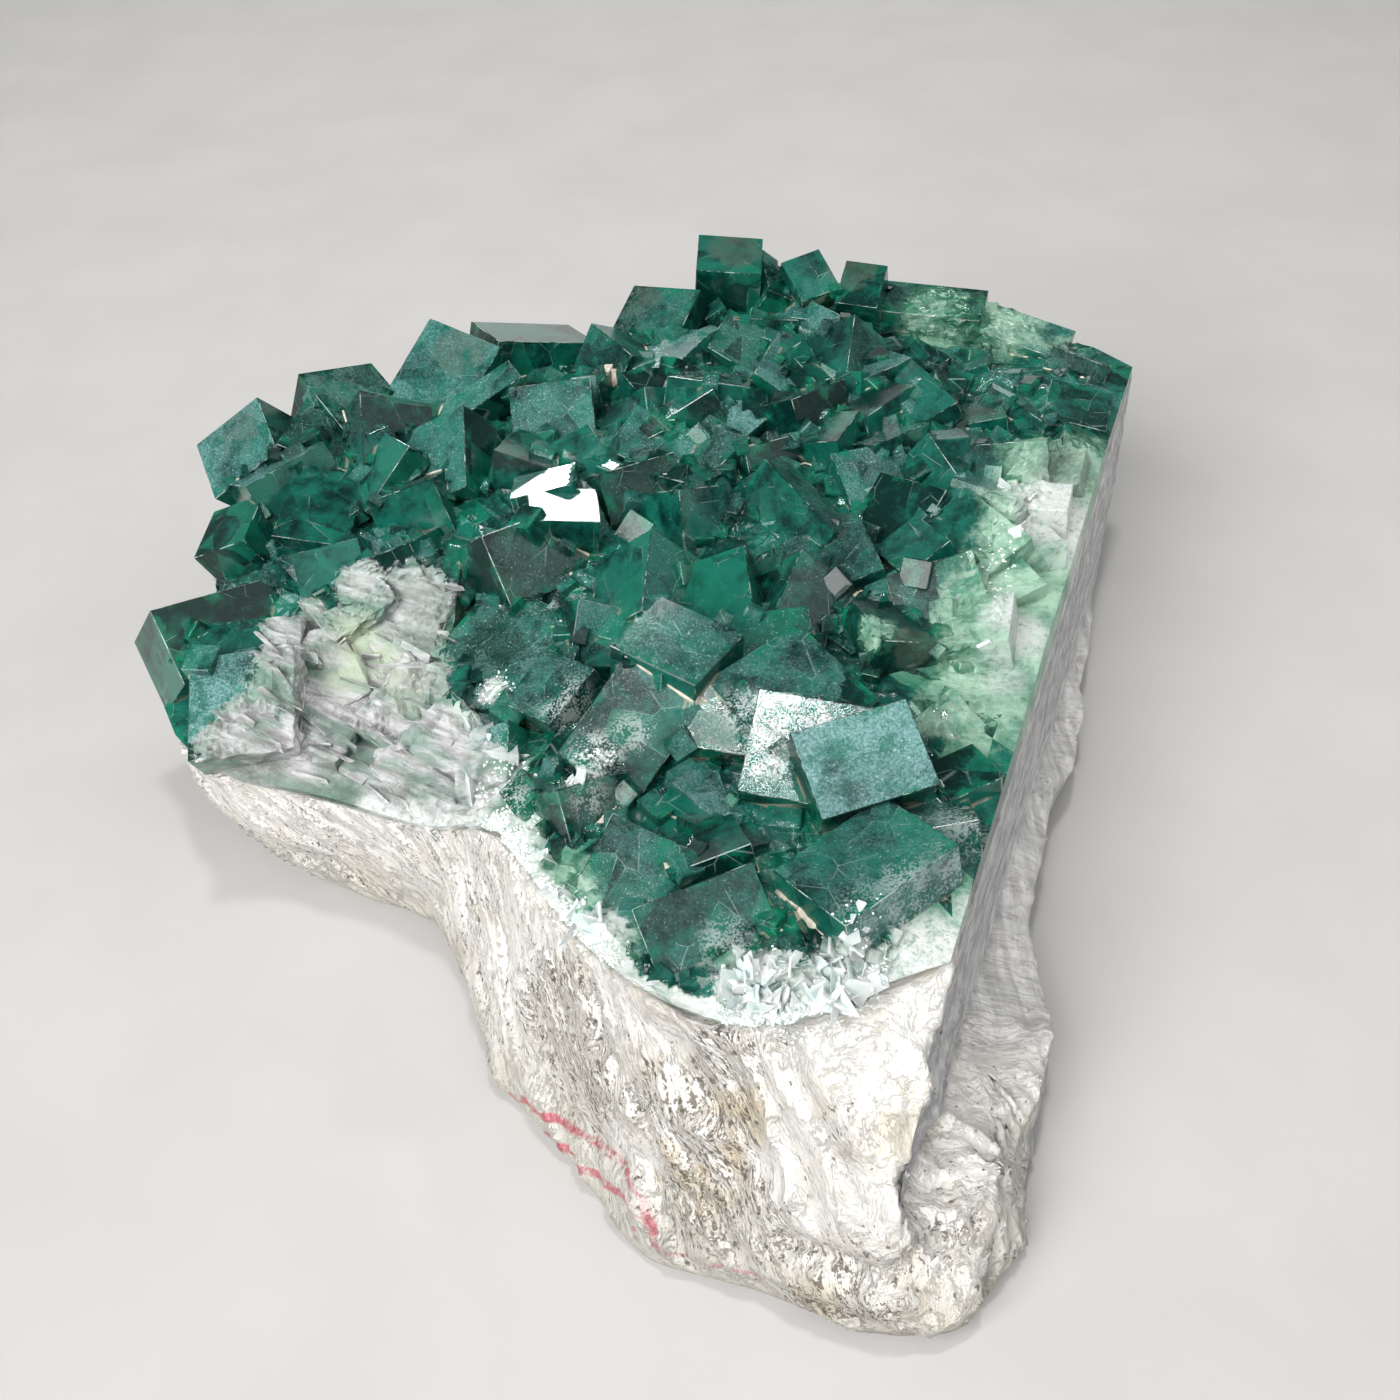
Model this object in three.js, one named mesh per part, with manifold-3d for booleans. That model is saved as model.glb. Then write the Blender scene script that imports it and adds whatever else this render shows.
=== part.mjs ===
// A fluorite specimen: white foliated rock, sawn flat on one side, under a crust of green cubic crystals.
// Millimetres, +Z up. +Y runs to the back of the crust and the sawn side faces +X.
// The origin is the middle of the bounding box, on the plane that the rock rests on.

import * as THREE from 'three';
import Module from 'manifold-3d';

const { clamp, degToRad, euclideanModulo, lerp, mapLinear } = THREE.MathUtils;
const wasm = await Module();
wasm.setup();

// Driving dimensions
const ROUND = 2 * Math.PI;
const STEPS_AROUND = 72;
const OUTLINE_SAMPLES = 1200;
const MERGE_DIGITS = 4;
const SEAM_GAP = 0.35;

const ROCK_LOOK = { color: 0xd9d6cc, roughness: 0.85, metalness: 0 };
const FLUORITE_LOOK = { color: 0x1f6f58, roughness: 0.15, metalness: 0 };

// Where the rock meets the table, counter-clockwise from the right: [x, y]
const FOOT_OUTLINE = [
  [118, 25], [124, 64], [118, 98], [92, 122], [58, 142], [26, 148], [-14, 128], [-52, 124],
  [-88, 110], [-104, 82], [-114, 58], [-107, 24], [-119, 8], [-107, -19], [-87, -34], [-61, -48],
  [-52, -68], [-43, -93], [-29, -111], [-16, -126], [-12, -139], [2, -143], [21, -150], [41, -159],
  [63, -147], [72, -119], [81, -86], [80, -62], [104, -13],
];

// The rim where the rock ends and the crust begins, the same way round: [x, y, z].
// It runs past the sawn side, which is cut afterwards.
const RIM_OUTLINE = [
  [132, 25, 52], [146, 66, 55], [142, 108, 58], [106, 128, 58], [68, 148, 58], [30, 154, 58],
  [-14, 134, 56], [-60, 132, 54], [-94, 113, 50], [-110, 86, 50], [-124, 66, 46], [-121, 26, 42],
  [-130, 6, 37], [-113, -23, 37], [-84, -34, 36], [-57, -48, 38], [-38, -62, 50], [-22, -89, 52],
  [-7, -107, 53], [16, -118, 52], [44, -110, 54], [72, -100, 54], [90, -60, 52], [116, -13, 52],
];

// Levels of the rock's flank: share of the height, and how far out the skin stands there
const FLANK_LEVELS = [
  { share: 0, out: -2.5 }, { share: 0.05, out: -0.4 }, { share: 0.13, out: 0.4 }, { share: 0.24, out: 0.6 },
  { share: 0.36, out: -0.6 }, { share: 0.5, out: 1.2 }, { share: 0.64, out: 1.4 }, { share: 0.78, out: 0.8 },
  { share: 0.9, out: 0.4 }, { share: 1, out: 0 },
];
const FLANK = { roughness: 3.8, lumpWidth: 24, squeeze: 1.4, fadeLift: 0.12 };
const LEDGES = { reach: 1.6, height: 11, width: 60, tilt: 0.25 };

// Broad forms of the flank: a belly at the front, and rock broken away under the sawn side's back half
const FRONT_BELLY = { x: 44, y: -142, radius: 34, depth: 8 };
const UNDERCUT = { x: 132, y: 60, radius: 60, depth: 12, topShare: 0.3 };

// Rings of the seat between rock and crust: shares of the rim's radius.
// The seat settles at its depth below the crest within a share of the radius.
const SEAT_SHARES = [0.92, 0.82, 0.68, 0.5, 0.27];
const SEAT_SETTLES = 0.45;

// The crust's crest is the height that most crystals reach, rising to the back
const CREST = { frontY: -120, frontZ: 59, backY: 130, backZ: 76 };
const WEST_SLOPE = { x: -72, y: -18, radius: 44, depth: 20 };
const BACK_RIDGE = { x: 122, y: 100, radius: 58, depth: 9 };
const CRUST_THICKNESS = 15;

// The massive fluorite that the crystals grow from, thin at the rim
const BED = {
  thickness: 6.5, atRim: 2, fullWithin: 0.2, roughness: 2.2, lumpWidth: 15, lumpPhase: 7,
  footShare: 0.97, footDrop: 5, rootZ: 30,
};

// The saw cut: a plane on the right side, leaning a little outwards below, and the rough floor that it left
const SAW = {
  x: 100.5, run: 0.436, leanDeg: 4.5, atZ: 60, length: 420, width: 120, height: 160, bottom: -20,
};
const SAW_FLOOR = {
  front: 24, back: 9, length: 300, fall: 0.35, roughness: 2.6, lumpWidth: 14, lumpPhase: 3,
};

// Named crystals: [name, middle, edge lengths, turn about its own axis, lean, direction of the lean]
const NAMED_CRYSTALS = [
  // Front of the crust
  ['frosted', [-7, -39, 50], [21, 28, 34], -35, 25, -85],
  ['frosted shoulder', [-20, -47, 46], [16, 20, 22], -35, 20, -110],
  ['left frost', [-38, -38, 46], [15, 16, 14], -5, 35, -160],
  ['prow right', [41, -89, 57], [30, 22, 18], 35, 10, 140],
  ['prow left', [7, -92, 50], [26, 17, 22], 20, 30, -80],
  ['mirror', [32, -52, 53], [27, 25, 26], -15, 20, -90],
  ['slate', [42, -61, 61], [26, 20, 22], 15, 25, -85],
  ['dusty', [12, -42, 57], [15, 16, 18], -10, 20, -80],
  ['wedge', [7, -61, 52], [14, 17, 16], -35, 30, 10],
  ['left dark', [-22, -25, 52], [17, 18, 20], 45, 25, -165],
  ['left low', [-17, -74, 50], [12, 13, 14], 35, 15, 165],
  ['green sill', [9, -79, 53], [18, 14, 16], 15, 20, 125],
  ['dark notch', [21, -104, 50], [16, 14, 16], 10, 20, 155],
  // Middle of the crust
  ['behind frosted', [4, -26, 62], [23, 21, 22], -35, 5, -20],
  ['behind mirror', [29, -37, 55], [28, 28, 24], 35, 10, -75],
  ['pale flat', [59, -16, 56], [26, 19, 16], 15, 20, 35],
  ['tent', [-2, 8, 54], [26, 24, 26], -15, 45, -170],
  ['small tent', [-17, -4, 54], [18, 18, 18], 25, 50, 75],
  ['long dark', [-32, 26, 59], [37, 22, 19], 45, 40, 120],
  ['flash a', [-27, 40, 65], [17, 14, 16], 0, 15, 135],
  ['flash b', [-24, 30, 65], [18, 14, 16], 5, 10, -10],
  ['wedge strip', [36, 30, 61], [12, 31, 20], 35, 35, 15],
  ['grey face', [7, 34, 60], [18, 20, 20], 45, 35, 95],
  ['kite', [67, 10, 61], [14, 16, 16], 25, 25, -175],
  // West side
  ['west peak', [-112, 80, 59], [24, 20, 24], 15, 40, -130],
  ['west grey', [-112, 47, 54], [18, 18, 16], -10, 25, -170],
  ['west fan', [-90, 49, 57], [20, 25, 18], -10, 15, -70],
  ['tip block', [-116, 16, 45], [33, 21, 21], 35, 40, -35],
  ['tip face', [-105, 4, 46], [27, 18, 18], 10, 10, -45],
  // Skyline
  ['north-west', [-60, 105, 63], [24, 30, 24], -30, 30, -95],
  ['grey bar', [-50, 86, 63], [35, 10, 20], 25, 20, -145],
  ['slab', [-36, 122, 65], [34, 19, 14], 30, 20, 45],
  ['skyline left', [5, 124, 65], [24, 25, 22], -30, 25, -140],
  ['skyline', [26, 142, 75], [20, 19, 20], -5, 10, -60],
  ['skyline right', [51, 136, 73], [13, 16, 16], 20, 25, -90],
  ['skyline far right', [67, 132, 71], [13, 16, 16], -20, 25, -105],
  ['ridge bank', [88, 131, 62], [34, 16, 18], -20, 8, -110],
  ['ridge end', [114, 118, 57], [28, 16, 18], -30, 10, -60],
  ['green corner', [121, 77, 56], [18, 18, 16], -20, 10, -50],
];
const CLEAR_OF_NAMED = 0.62;

// Fill between the named crystals: cubes or broken blocks on a loose hexagonal grid, zone by zone.
// A block sinks below the crest by a share of its size.
const FILL_GRID = { reach: 170, rowStep: 0.87, jitter: [-4, 4], turn: [-45, 45], widthShare: [0.8, 1.15] };
const CLEAVED_FROM = 9;
const RIDGE_FROM = 5;
const SAW_STRIP = 24;
const FILL_ZONES = [
  {
    name: 'cubes', seed: 20, spacing: 17.5, edge: [17, 25], flatness: [0.75, 1.1],
    lean: [15, 45], towards: [-180, 180], sink: [0.42, 0.56], fromRim: 12, fromSaw: SAW_STRIP,
  },
  {
    name: 'ridge lumps', seed: 31, spacing: 17, edge: [13, 18], flatness: [0.5, 0.9],
    lean: [5, 30], towards: [-180, 180], sink: [0.4, 0.6], fromRim: 6, fromSaw: 4,
  },
  {
    name: 'cleaved blocks', seed: 42, spacing: 18, edge: [17, 28], flatness: [0.25, 0.45],
    lean: [10, 35], towards: [-150, -60], sink: [0.15, 0.25], fromRim: 5, fromSaw: SAW_STRIP,
  },
];

// Small repeatable generator, so that the fill comes out alike each time
function seededRandom(seed) {
  let state = seed;
  return () => {
    state = (state + 0x6d2b79f5) | 0;
    let mixed = Math.imul(state ^ (state >>> 15), 1 | state);
    mixed = (mixed + Math.imul(mixed ^ (mixed >>> 7), 61 | mixed)) ^ mixed;
    return ((mixed ^ (mixed >>> 14)) >>> 0) / 2 ** 32;
  };
}

// Smooth noise from -1 to 1, with lumps about one unit wide
function latticeValue(i, j, k) {
  const raw = Math.sin(i * 127.1 + j * 311.7 + k * 74.7) * 43758.5453;
  return 2 * (raw - Math.floor(raw)) - 1;
}

function smoothNoise(x, y, z) {
  const ease = (t) => t * t * (3 - 2 * t);
  const [i, j, k] = [x, y, z].map(Math.floor);
  const [u, v, w] = [ease(x - i), ease(y - j), ease(z - k)];
  const along = (dj, dk) => lerp(latticeValue(i, j + dj, k + dk), latticeValue(i + 1, j + dj, k + dk), u);
  const across = (dk) => lerp(along(0, dk), along(1, dk), v);
  return lerp(across(0), across(1), w);
}

function lumps(x, y, z, width) {
  const [u, v, w] = [x / width, y / width, z / width];
  return smoothNoise(u, v, w) + 0.5 * smoothNoise(2.3 * u, 2.3 * v, 2.3 * w);
}

// An outline as a function of the angle around the origin
function outlineByAngle(landmarks) {
  const points = landmarks.map(([x, y, z = 0]) => new THREE.Vector3(x, y, z));
  const curve = new THREE.CatmullRomCurve3(points, true, 'centripetal');
  const samples = curve.getPoints(OUTLINE_SAMPLES).slice(1).map((p) => ({
    angle: Math.atan2(p.y, p.x), radius: Math.hypot(p.x, p.y), z: p.z,
  }));
  samples.sort((a, b) => a.angle - b.angle);
  return (angle) => {
    const wanted = euclideanModulo(angle + Math.PI, ROUND) - Math.PI;
    const after = Math.max(0, samples.findIndex((sample) => sample.angle > wanted));
    const next = samples[after];
    const last = samples.at(after - 1);
    const gap = euclideanModulo(next.angle - last.angle, ROUND);
    const share = euclideanModulo(wanted - last.angle, ROUND) / gap;
    return { radius: lerp(last.radius, next.radius, share), z: lerp(last.z, next.z, share) };
  };
}

const footAt = outlineByAngle(FOOT_OUTLINE);
const rimAt = outlineByAngle(RIM_OUTLINE);

function bump(x, y, { x: centreX, y: centreY, radius, depth }) {
  return depth * Math.exp(-((x - centreX) ** 2 + (y - centreY) ** 2) / (radius * radius));
}

const insideRim = (x, y, margin) => Math.hypot(x, y) < rimAt(Math.atan2(y, x)).radius - margin;
const leftOfSaw = (x, y) => SAW.x + SAW.run * y - x;
const westSlope = (x, y) => bump(x, y, WEST_SLOPE);
const backRidge = (x, y) => bump(x, y, BACK_RIDGE);

function crestHeight(x, y) {
  const level = mapLinear(y, CREST.frontY, CREST.backY, CREST.frontZ, CREST.backZ);
  return level - westSlope(x, y) - backRidge(x, y);
}

// The rock under the crust leaves the rim and settles below the crest
function seatHeight(x, y, rimZ, inwards) {
  return lerp(rimZ, crestHeight(x, y) - CRUST_THICKNESS, Math.min(1, inwards / SEAT_SETTLES));
}

function bedHeight(x, y, rimZ, inwards) {
  const thickness = BED.thickness + BED.roughness * lumps(x, y, BED.lumpPhase, BED.lumpWidth);
  return seatHeight(x, y, rimZ, inwards) + BED.atRim + thickness * Math.min(1, inwards / BED.fullWithin);
}

// A ring of points around the origin, each made from its angle
function ring(makePoint) {
  return Array.from({ length: STEPS_AROUND }, (_, step) => makePoint((step / STEPS_AROUND) * ROUND));
}

const polar = (radius, angle, z) => new THREE.Vector3(radius * Math.cos(angle), radius * Math.sin(angle), z);

// A closed skin through rings of equal length, with a middle point closing each end
function skinThroughRings(rings, bottomPoint, topPoint) {
  const count = STEPS_AROUND;
  const positions = [...rings.flat(), bottomPoint, topPoint].flatMap((p) => [p.x, p.y, p.z]);
  const bottom = rings.length * count;
  const triangles = [];
  for (let side = 0; side < count; side += 1) {
    const next = (side + 1) % count;
    triangles.push(bottom, next, side);
    for (let low = 0; low < bottom - count; low += count) {
      triangles.push(low + side, low + next, low + count + next);
      triangles.push(low + side, low + count + next, low + count + side);
    }
    triangles.push(bottom - count + side, bottom - count + next, bottom + 1);
  }
  return solidFrom(positions, triangles);
}

function solidFrom(positions, triangles) {
  const vertProperties = new Float32Array(positions);
  const triVerts = new Uint32Array(triangles);
  return new wasm.Manifold(new wasm.Mesh({ numProp: 3, vertProperties, triVerts }));
}

// A closed three.js geometry as a solid, with its shared corners merged
function mergedSolid(geometry) {
  const place = geometry.attributes.position;
  const seen = new Map();
  const positions = [];
  const alias = Array.from({ length: place.count }, (_, index) => {
    const corner = [place.getX(index), place.getY(index), place.getZ(index)];
    const key = corner.map((value) => value.toFixed(MERGE_DIGITS)).join();
    if (!seen.has(key)) {
      seen.set(key, positions.length / 3);
      positions.push(...corner);
    }
    return seen.get(key);
  });
  return solidFrom(positions, Array.from(geometry.index.array, (index) => alias[index]));
}

// How far the flank's skin stands out at a place, by its lumps, ledges, belly and undercut
function flankRelief(x, y, z, share) {
  const layer = (z + LEDGES.tilt * x) / LEDGES.height;
  const ledge = LEDGES.reach * smoothNoise(x / LEDGES.width, y / LEDGES.width, layer);
  const rough = FLANK.roughness * lumps(x, y, z * FLANK.squeeze, FLANK.lumpWidth) + ledge;
  const fade = Math.sin(Math.PI * Math.min(share + FLANK.fadeLift, 1));
  const belly = bump(x, y, FRONT_BELLY) * Math.sin(Math.PI * share);
  const undercut = bump(x, y, UNDERCUT) * Math.max(0, 1 - share / UNDERCUT.topShare);
  return rough * fade + belly - undercut;
}

// The matrix rock before it is sawn, grown by a margin where it cuts the crust's seat
function rockBody(margin) {
  const flank = FLANK_LEVELS.map(({ share, out }) => ring((angle) => {
    const rim = rimAt(angle);
    const z = rim.z * share;
    const plain = lerp(footAt(angle).radius, rim.radius, share) + out;
    const { x, y } = polar(plain, angle, z);
    return polar(plain + flankRelief(x, y, z, share) + margin, angle, share === 1 ? z + margin : z);
  }));
  const seat = SEAT_SHARES.map((share) => ring((angle) => {
    const rim = rimAt(angle);
    const { x, y } = polar(rim.radius * share, angle, 0);
    return new THREE.Vector3(x, y, seatHeight(x, y, rim.z, 1 - share) + margin);
  }));
  const middle = new THREE.Vector3(0, 0, seatHeight(0, 0, rimAt(0).z, 1) + margin);
  return skinThroughRings([...flank, ...seat], new THREE.Vector3(0, 0, 0), middle);
}

// The massive fluorite, which reaches down into the rock until its seat is cut
function bedBody() {
  const underside = ring((angle) => {
    const rim = rimAt(angle);
    return polar(rim.radius * BED.footShare, angle, rim.z - BED.footDrop);
  });
  const top = [1, ...SEAT_SHARES].map((share) => ring((angle) => {
    const rim = rimAt(angle);
    const { x, y } = polar(rim.radius * share, angle, 0);
    return new THREE.Vector3(x, y, bedHeight(x, y, rim.z, 1 - share));
  }));
  const middle = new THREE.Vector3(0, 0, bedHeight(0, 0, rimAt(0).z, 1));
  return skinThroughRings([underside, ...top], new THREE.Vector3(0, 0, BED.rootZ), middle);
}

// The floor that the saw left in the rock, by the distance outwards and along the cut
function sawFloor(out, along) {
  const level = lerp(SAW_FLOOR.front, SAW_FLOOR.back, clamp(along / SAW_FLOOR.length + 0.5, 0, 1));
  const rough = SAW_FLOOR.roughness * lumps(out, along, SAW_FLOOR.lumpPhase, SAW_FLOOR.lumpWidth);
  return level + rough - SAW_FLOOR.fall * out;
}

// What the saw took from the right side, down to a floor
function sawnAway(floorHeight, cells) {
  const block = new THREE.BoxGeometry(SAW.width, SAW.length, SAW.height, ...cells);
  const place = block.attributes.position;
  const across = Math.atan(SAW.run);
  for (let index = 0; index < place.count; index += 1) {
    const out = place.getX(index) + SAW.width / 2;
    const along = place.getY(index);
    const z = place.getZ(index) > 0 ? SAW.height : floorHeight(out, along);
    const leaned = out - (z - SAW.atZ) * Math.tan(degToRad(SAW.leanDeg));
    const x = SAW.x + leaned * Math.cos(across) + along * Math.sin(across);
    const y = along * Math.cos(across) - leaned * Math.sin(across);
    place.setXYZ(index, x, y, z);
  }
  return mergedSolid(block);
}

function crystal([, middle, edges, turnDeg, leanDeg, towardsDeg]) {
  const towards = degToRad(towardsDeg);
  const leanAxis = new THREE.Vector3(-Math.sin(towards), Math.cos(towards), 0);
  const lean = new THREE.Quaternion().setFromAxisAngle(leanAxis, degToRad(leanDeg));
  const turn = new THREE.Quaternion().setFromAxisAngle(new THREE.Vector3(0, 0, 1), degToRad(turnDeg));
  const cube = new THREE.BoxGeometry(...edges);
  cube.applyQuaternion(lean.multiply(turn));
  cube.translate(...middle);
  return mergedSolid(cube);
}

// Whether a named crystal already stands at a place
function takenByNamed(x, y) {
  return NAMED_CRYSTALS.some(([, [cx, cy], edges]) => (
    Math.hypot(x - cx, y - cy) < CLEAR_OF_NAMED * Math.max(...edges)
  ));
}

// Which zone of the crust a place lies in
function zoneAt(x, y) {
  if (westSlope(x, y) >= CLEAVED_FROM) return 'cleaved blocks';
  return backRidge(x, y) >= RIDGE_FROM || leftOfSaw(x, y) <= SAW_STRIP ? 'ridge lumps' : 'cubes';
}

function growsAt(zone, x, y) {
  const inZone = zoneAt(x, y) === zone.name;
  return inZone && insideRim(x, y, zone.fromRim) && leftOfSaw(x, y) > zone.fromSaw && !takenByNamed(x, y);
}

function fillZone(zone) {
  const random = seededRandom(zone.seed);
  const between = ([low, high]) => lerp(low, high, random());
  const crystals = [];
  const reach = Math.ceil(FILL_GRID.reach / zone.spacing);
  for (let row = -reach; row <= reach; row += 1) {
    for (let column = -reach; column <= reach; column += 1) {
      const x = (column + (row % 2 ? 0.5 : 0)) * zone.spacing + between(FILL_GRID.jitter);
      const y = row * zone.spacing * FILL_GRID.rowStep + between(FILL_GRID.jitter);
      const size = between(zone.edge);
      const edges = [size, size * between(FILL_GRID.widthShare), size * between(zone.flatness)];
      const [turn, lean, towards] = [between(FILL_GRID.turn), between(zone.lean), between(zone.towards)];
      const middle = [x, y, crestHeight(x, y) - size * between(zone.sink)];
      if (growsAt(zone, x, y)) crystals.push([zone.name, middle, edges, turn, lean, towards]);
    }
  }
  return crystals;
}

function largestBody(solid) {
  return solid.decompose().reduce((best, body) => (body.volume() > best.volume() ? body : best));
}

function matrixRock() {
  return largestBody(rockBody(0).subtract(sawnAway(sawFloor, [8, 34, 1])));
}

// The saw went right through the crust, so its block has no rough floor here
function fluoriteCrystals() {
  const crystals = [...NAMED_CRYSTALS, ...FILL_ZONES.flatMap(fillZone)].map(crystal);
  const grown = crystals.reduce((crust, next) => crust.add(next), bedBody());
  return largestBody(grown.subtract(rockBody(SEAM_GAP)).subtract(sawnAway(() => SAW.bottom, [1, 1, 1])));
}

function namedMesh(name, solid, look) {
  const { vertProperties, triVerts } = solid.getMesh();
  const geometry = new THREE.BufferGeometry();
  geometry.setAttribute('position', new THREE.BufferAttribute(vertProperties, 3));
  geometry.setIndex(new THREE.BufferAttribute(triVerts, 1));
  const mesh = new THREE.Mesh(geometry, new THREE.MeshStandardMaterial({ ...look, flatShading: true }));
  mesh.name = name;
  return mesh;
}

// The origin goes to the middle of the bounding box, with the underside at height 0
function centred(group) {
  const middle = new THREE.Box3().setFromObject(group, true).getCenter(new THREE.Vector3());
  group.position.set(-middle.x, -middle.y, 0);
  return group;
}

const specimen = new THREE.Group();
specimen.add(namedMesh('matrix_rock', matrixRock(), ROCK_LOOK));
specimen.add(namedMesh('fluorite_crystals', fluoriteCrystals(), FLUORITE_LOOK));

export default centred(specimen);
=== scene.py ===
"""A cubic fluorite cluster: green crystals on white foliated rock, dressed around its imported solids.

Metres, +Z up, +Y to the back. Lengths in the constants below are in millimetres where they say so.
"""

import math

import bpy
import numpy as np
from bpy.props import FloatProperty, FloatVectorProperty, IntProperty, PointerProperty
from mathutils import Euler, Matrix, Vector, noise as field
from mathutils.bvhtree import BVHTree
from mathutils.kdtree import KDTree


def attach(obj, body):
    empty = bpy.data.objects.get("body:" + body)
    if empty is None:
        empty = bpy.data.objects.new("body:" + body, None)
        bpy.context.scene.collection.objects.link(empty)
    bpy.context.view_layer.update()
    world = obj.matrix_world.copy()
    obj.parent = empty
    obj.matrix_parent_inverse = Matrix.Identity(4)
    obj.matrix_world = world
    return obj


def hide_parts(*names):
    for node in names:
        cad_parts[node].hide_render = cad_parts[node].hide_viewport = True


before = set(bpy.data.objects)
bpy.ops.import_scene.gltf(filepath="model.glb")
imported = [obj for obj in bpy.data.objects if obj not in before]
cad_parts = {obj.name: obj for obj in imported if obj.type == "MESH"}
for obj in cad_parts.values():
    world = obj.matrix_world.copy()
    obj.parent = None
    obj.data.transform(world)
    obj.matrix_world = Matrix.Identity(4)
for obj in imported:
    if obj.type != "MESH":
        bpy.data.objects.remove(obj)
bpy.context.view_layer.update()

bl_info = {
    "name": "Cubic fluorite cluster",
    "version": (1, 0, 0),
    "blender": (4, 5, 0),
    "location": "3D View > Sidebar > Fluorite",
    "description": "Builds the crystals, rock and studio of a fluorite specimen around its frame",
    "category": "Object",
}

MM = 0.001
BODY = "root"
ROCK_NODE, CRUST_NODE = "matrix_rock", "fluorite_crystals"

# Camera: where the photograph was taken from, in mm, with its pitch below the horizon and its roll
CAMERA_PLACE = (5.6, -267.5, 280.0)
CAMERA_PITCH = 43.0
CAMERA_ROLL = -3.6
CAMERA_LENS = 36.1

# Lights: a name, a place and what it aims at in metres, a size in metres, its power setting, its spread in
# degrees. The two glints are what two of the flat faces mirror towards the camera.
LIGHTS = (
    ("overhead_panel", (0.054, 0.112, 1.25), (0, 0, 0.06), 0.11, "panel", 180),
    ("front_fill", (-1.5, -1.5, 1.7), (0, 0, 0.04), 2.2, "fill", 180),
    ("side_fill", (2.2, -0.6, 1.5), (0, 0, 0.04), 3.0, "side", 180),
    ("back_panel", (0.0, 2.3, 0.15), (0, 0, 0.1), 1.7, "wall", 180),
    ("ceiling_panel", (0.28, -0.35, 2.2), (0, 0, 0.06), 1.4, "ceiling", 180),
    ("back_glint", (0.0128, 0.363, 0.330), (-0.0309, 0.0336, 0.0738), 0.06, "glint", 8),
    ("low_glint", (-0.128, 0.450, 0.138), (-0.0316, 0.0461, 0.0722), 0.065, "glint", 8),
)
LIGHT_COLOUR = (1.0, 0.99, 0.98)
ROOM_COLOUR = (0.96, 0.98, 1.0)
FLOOR_SIZE = 8.0

# Colours that the panel doesn't offer. Two of the rock's colours are painted shade, one for its front hollow
# and toe and one for its low foot, and the frost white is partly a painted highlight on the crystals
SHADES = {
    "layer": (0.80, 0.78, 0.745), "grit": (0.50, 0.475, 0.43), "shadow": (0.46, 0.42, 0.355),
    "cream": (0.74, 0.68, 0.55), "grime": (0.50, 0.475, 0.40), "crack": (0.18, 0.14, 0.10),
    "sawn": (0.54, 0.54, 0.54), "saw_score": (0.28, 0.28, 0.29), "veil": (0.50, 0.68, 0.62),
    "under_pale": (0.06, 0.27, 0.17), "under_sugar": (0.05, 0.26, 0.16), "rime": (0.50, 0.66, 0.58),
    "snow": (0.94, 0.97, 0.95), "seam": (0.62, 0.58, 0.46), "frost": (0.86, 0.96, 0.94),
    "fibre": (0.91, 0.91, 0.93), "fibre_grey": (0.38, 0.375, 0.37), "fibre_green": (0.22, 0.35, 0.29),
    "chip": (0.48, 0.63, 0.57), "sugar": (0.93, 0.95, 0.94), "flaw": (0.80, 0.92, 0.91),
    "glass": (0.98, 0.99, 0.99), "blade": (0.90, 0.92, 0.92), "grain": (0.95, 0.96, 0.95),
    "grain_dark": (0.62, 0.68, 0.66),
}

# Rock: the direction across its layers, and the plane of its sawn side with a point on it in mm
LAYER_NORMAL = Vector((0.14, -0.67, 0.73)).normalized()
SAW_NORMAL = Vector((0.914, -0.398, 0.078)).normalized()
SAW_TURN = math.atan2(-SAW_NORMAL.y, SAW_NORMAL.x)
SAW_POINT = (75.1, -25.6, 55.0)

# The streaks of the cleaved west slope run this way, and the ridges and hollows of the rock's front
STREAK_WAY = Vector((0.86, -0.50, -0.08)).normalized()
ROCK_FORMS = (
    (((-21, -97, 47), (-18, -107, 37), (-12, -118, 34), (-10, -124, 18), (-8, -133, 10)), 5, -2.0),
    (((-35, -87, 32), (-35, -98, 16), (-27, -109, 12), (-15, -123, 16)), 4, -1.4),
    (((-2, -113, 46), (4, -122, 39), (10, -130, 30)), 11, -3.0),
    (((12, -111, 54), (18, -124, 44), (26, -137, 33), (32, -143, 24)), 7, 2.6),
    (((16, -142, 18), (30, -145, 18), (44, -143, 19)), 5, -2.6),
    (((-12, -137, 6), (6, -143, 9), (24, -150, 12), (38, -152, 12)), 5, 1.6),
)

# Where the rock is full of dark flecks, and where painted shade darkens its front hollow and its toe: a
# centre in mm, a radius in mm and a strength
FLECK_AND_SHADE_SPOTS = (
    ((2, -120, 40), 24, 1.0), ((-12, -112, 34), 22, 1.0), ((4, -132, 20), 22, 0.9),
    ((-24, -100, 30), 26, 1.0), ((27, -130, 38), 9, 0.9), ((30, -150, 10), 24, 0.8),
    ((52, -146, 10), 16, 0.6), ((-60, -50, 25), 60, 0.3), ((-110, -24, 30), 40, 0.2),
)

# Where the rock is stained tan, in the same way, and at its toe the same tan is painted shade
STAIN_AND_SHADE_SPOTS = (
    ((4, -124, 34), 20, 0.9), ((-2, -128, 22), 16, 1.0), ((30, -128, 42), 18, 0.4),
    # The toe: painted shade for its low front, which stands in shade
    ((30, -150, 12), 24, 0.6),
)
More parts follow.
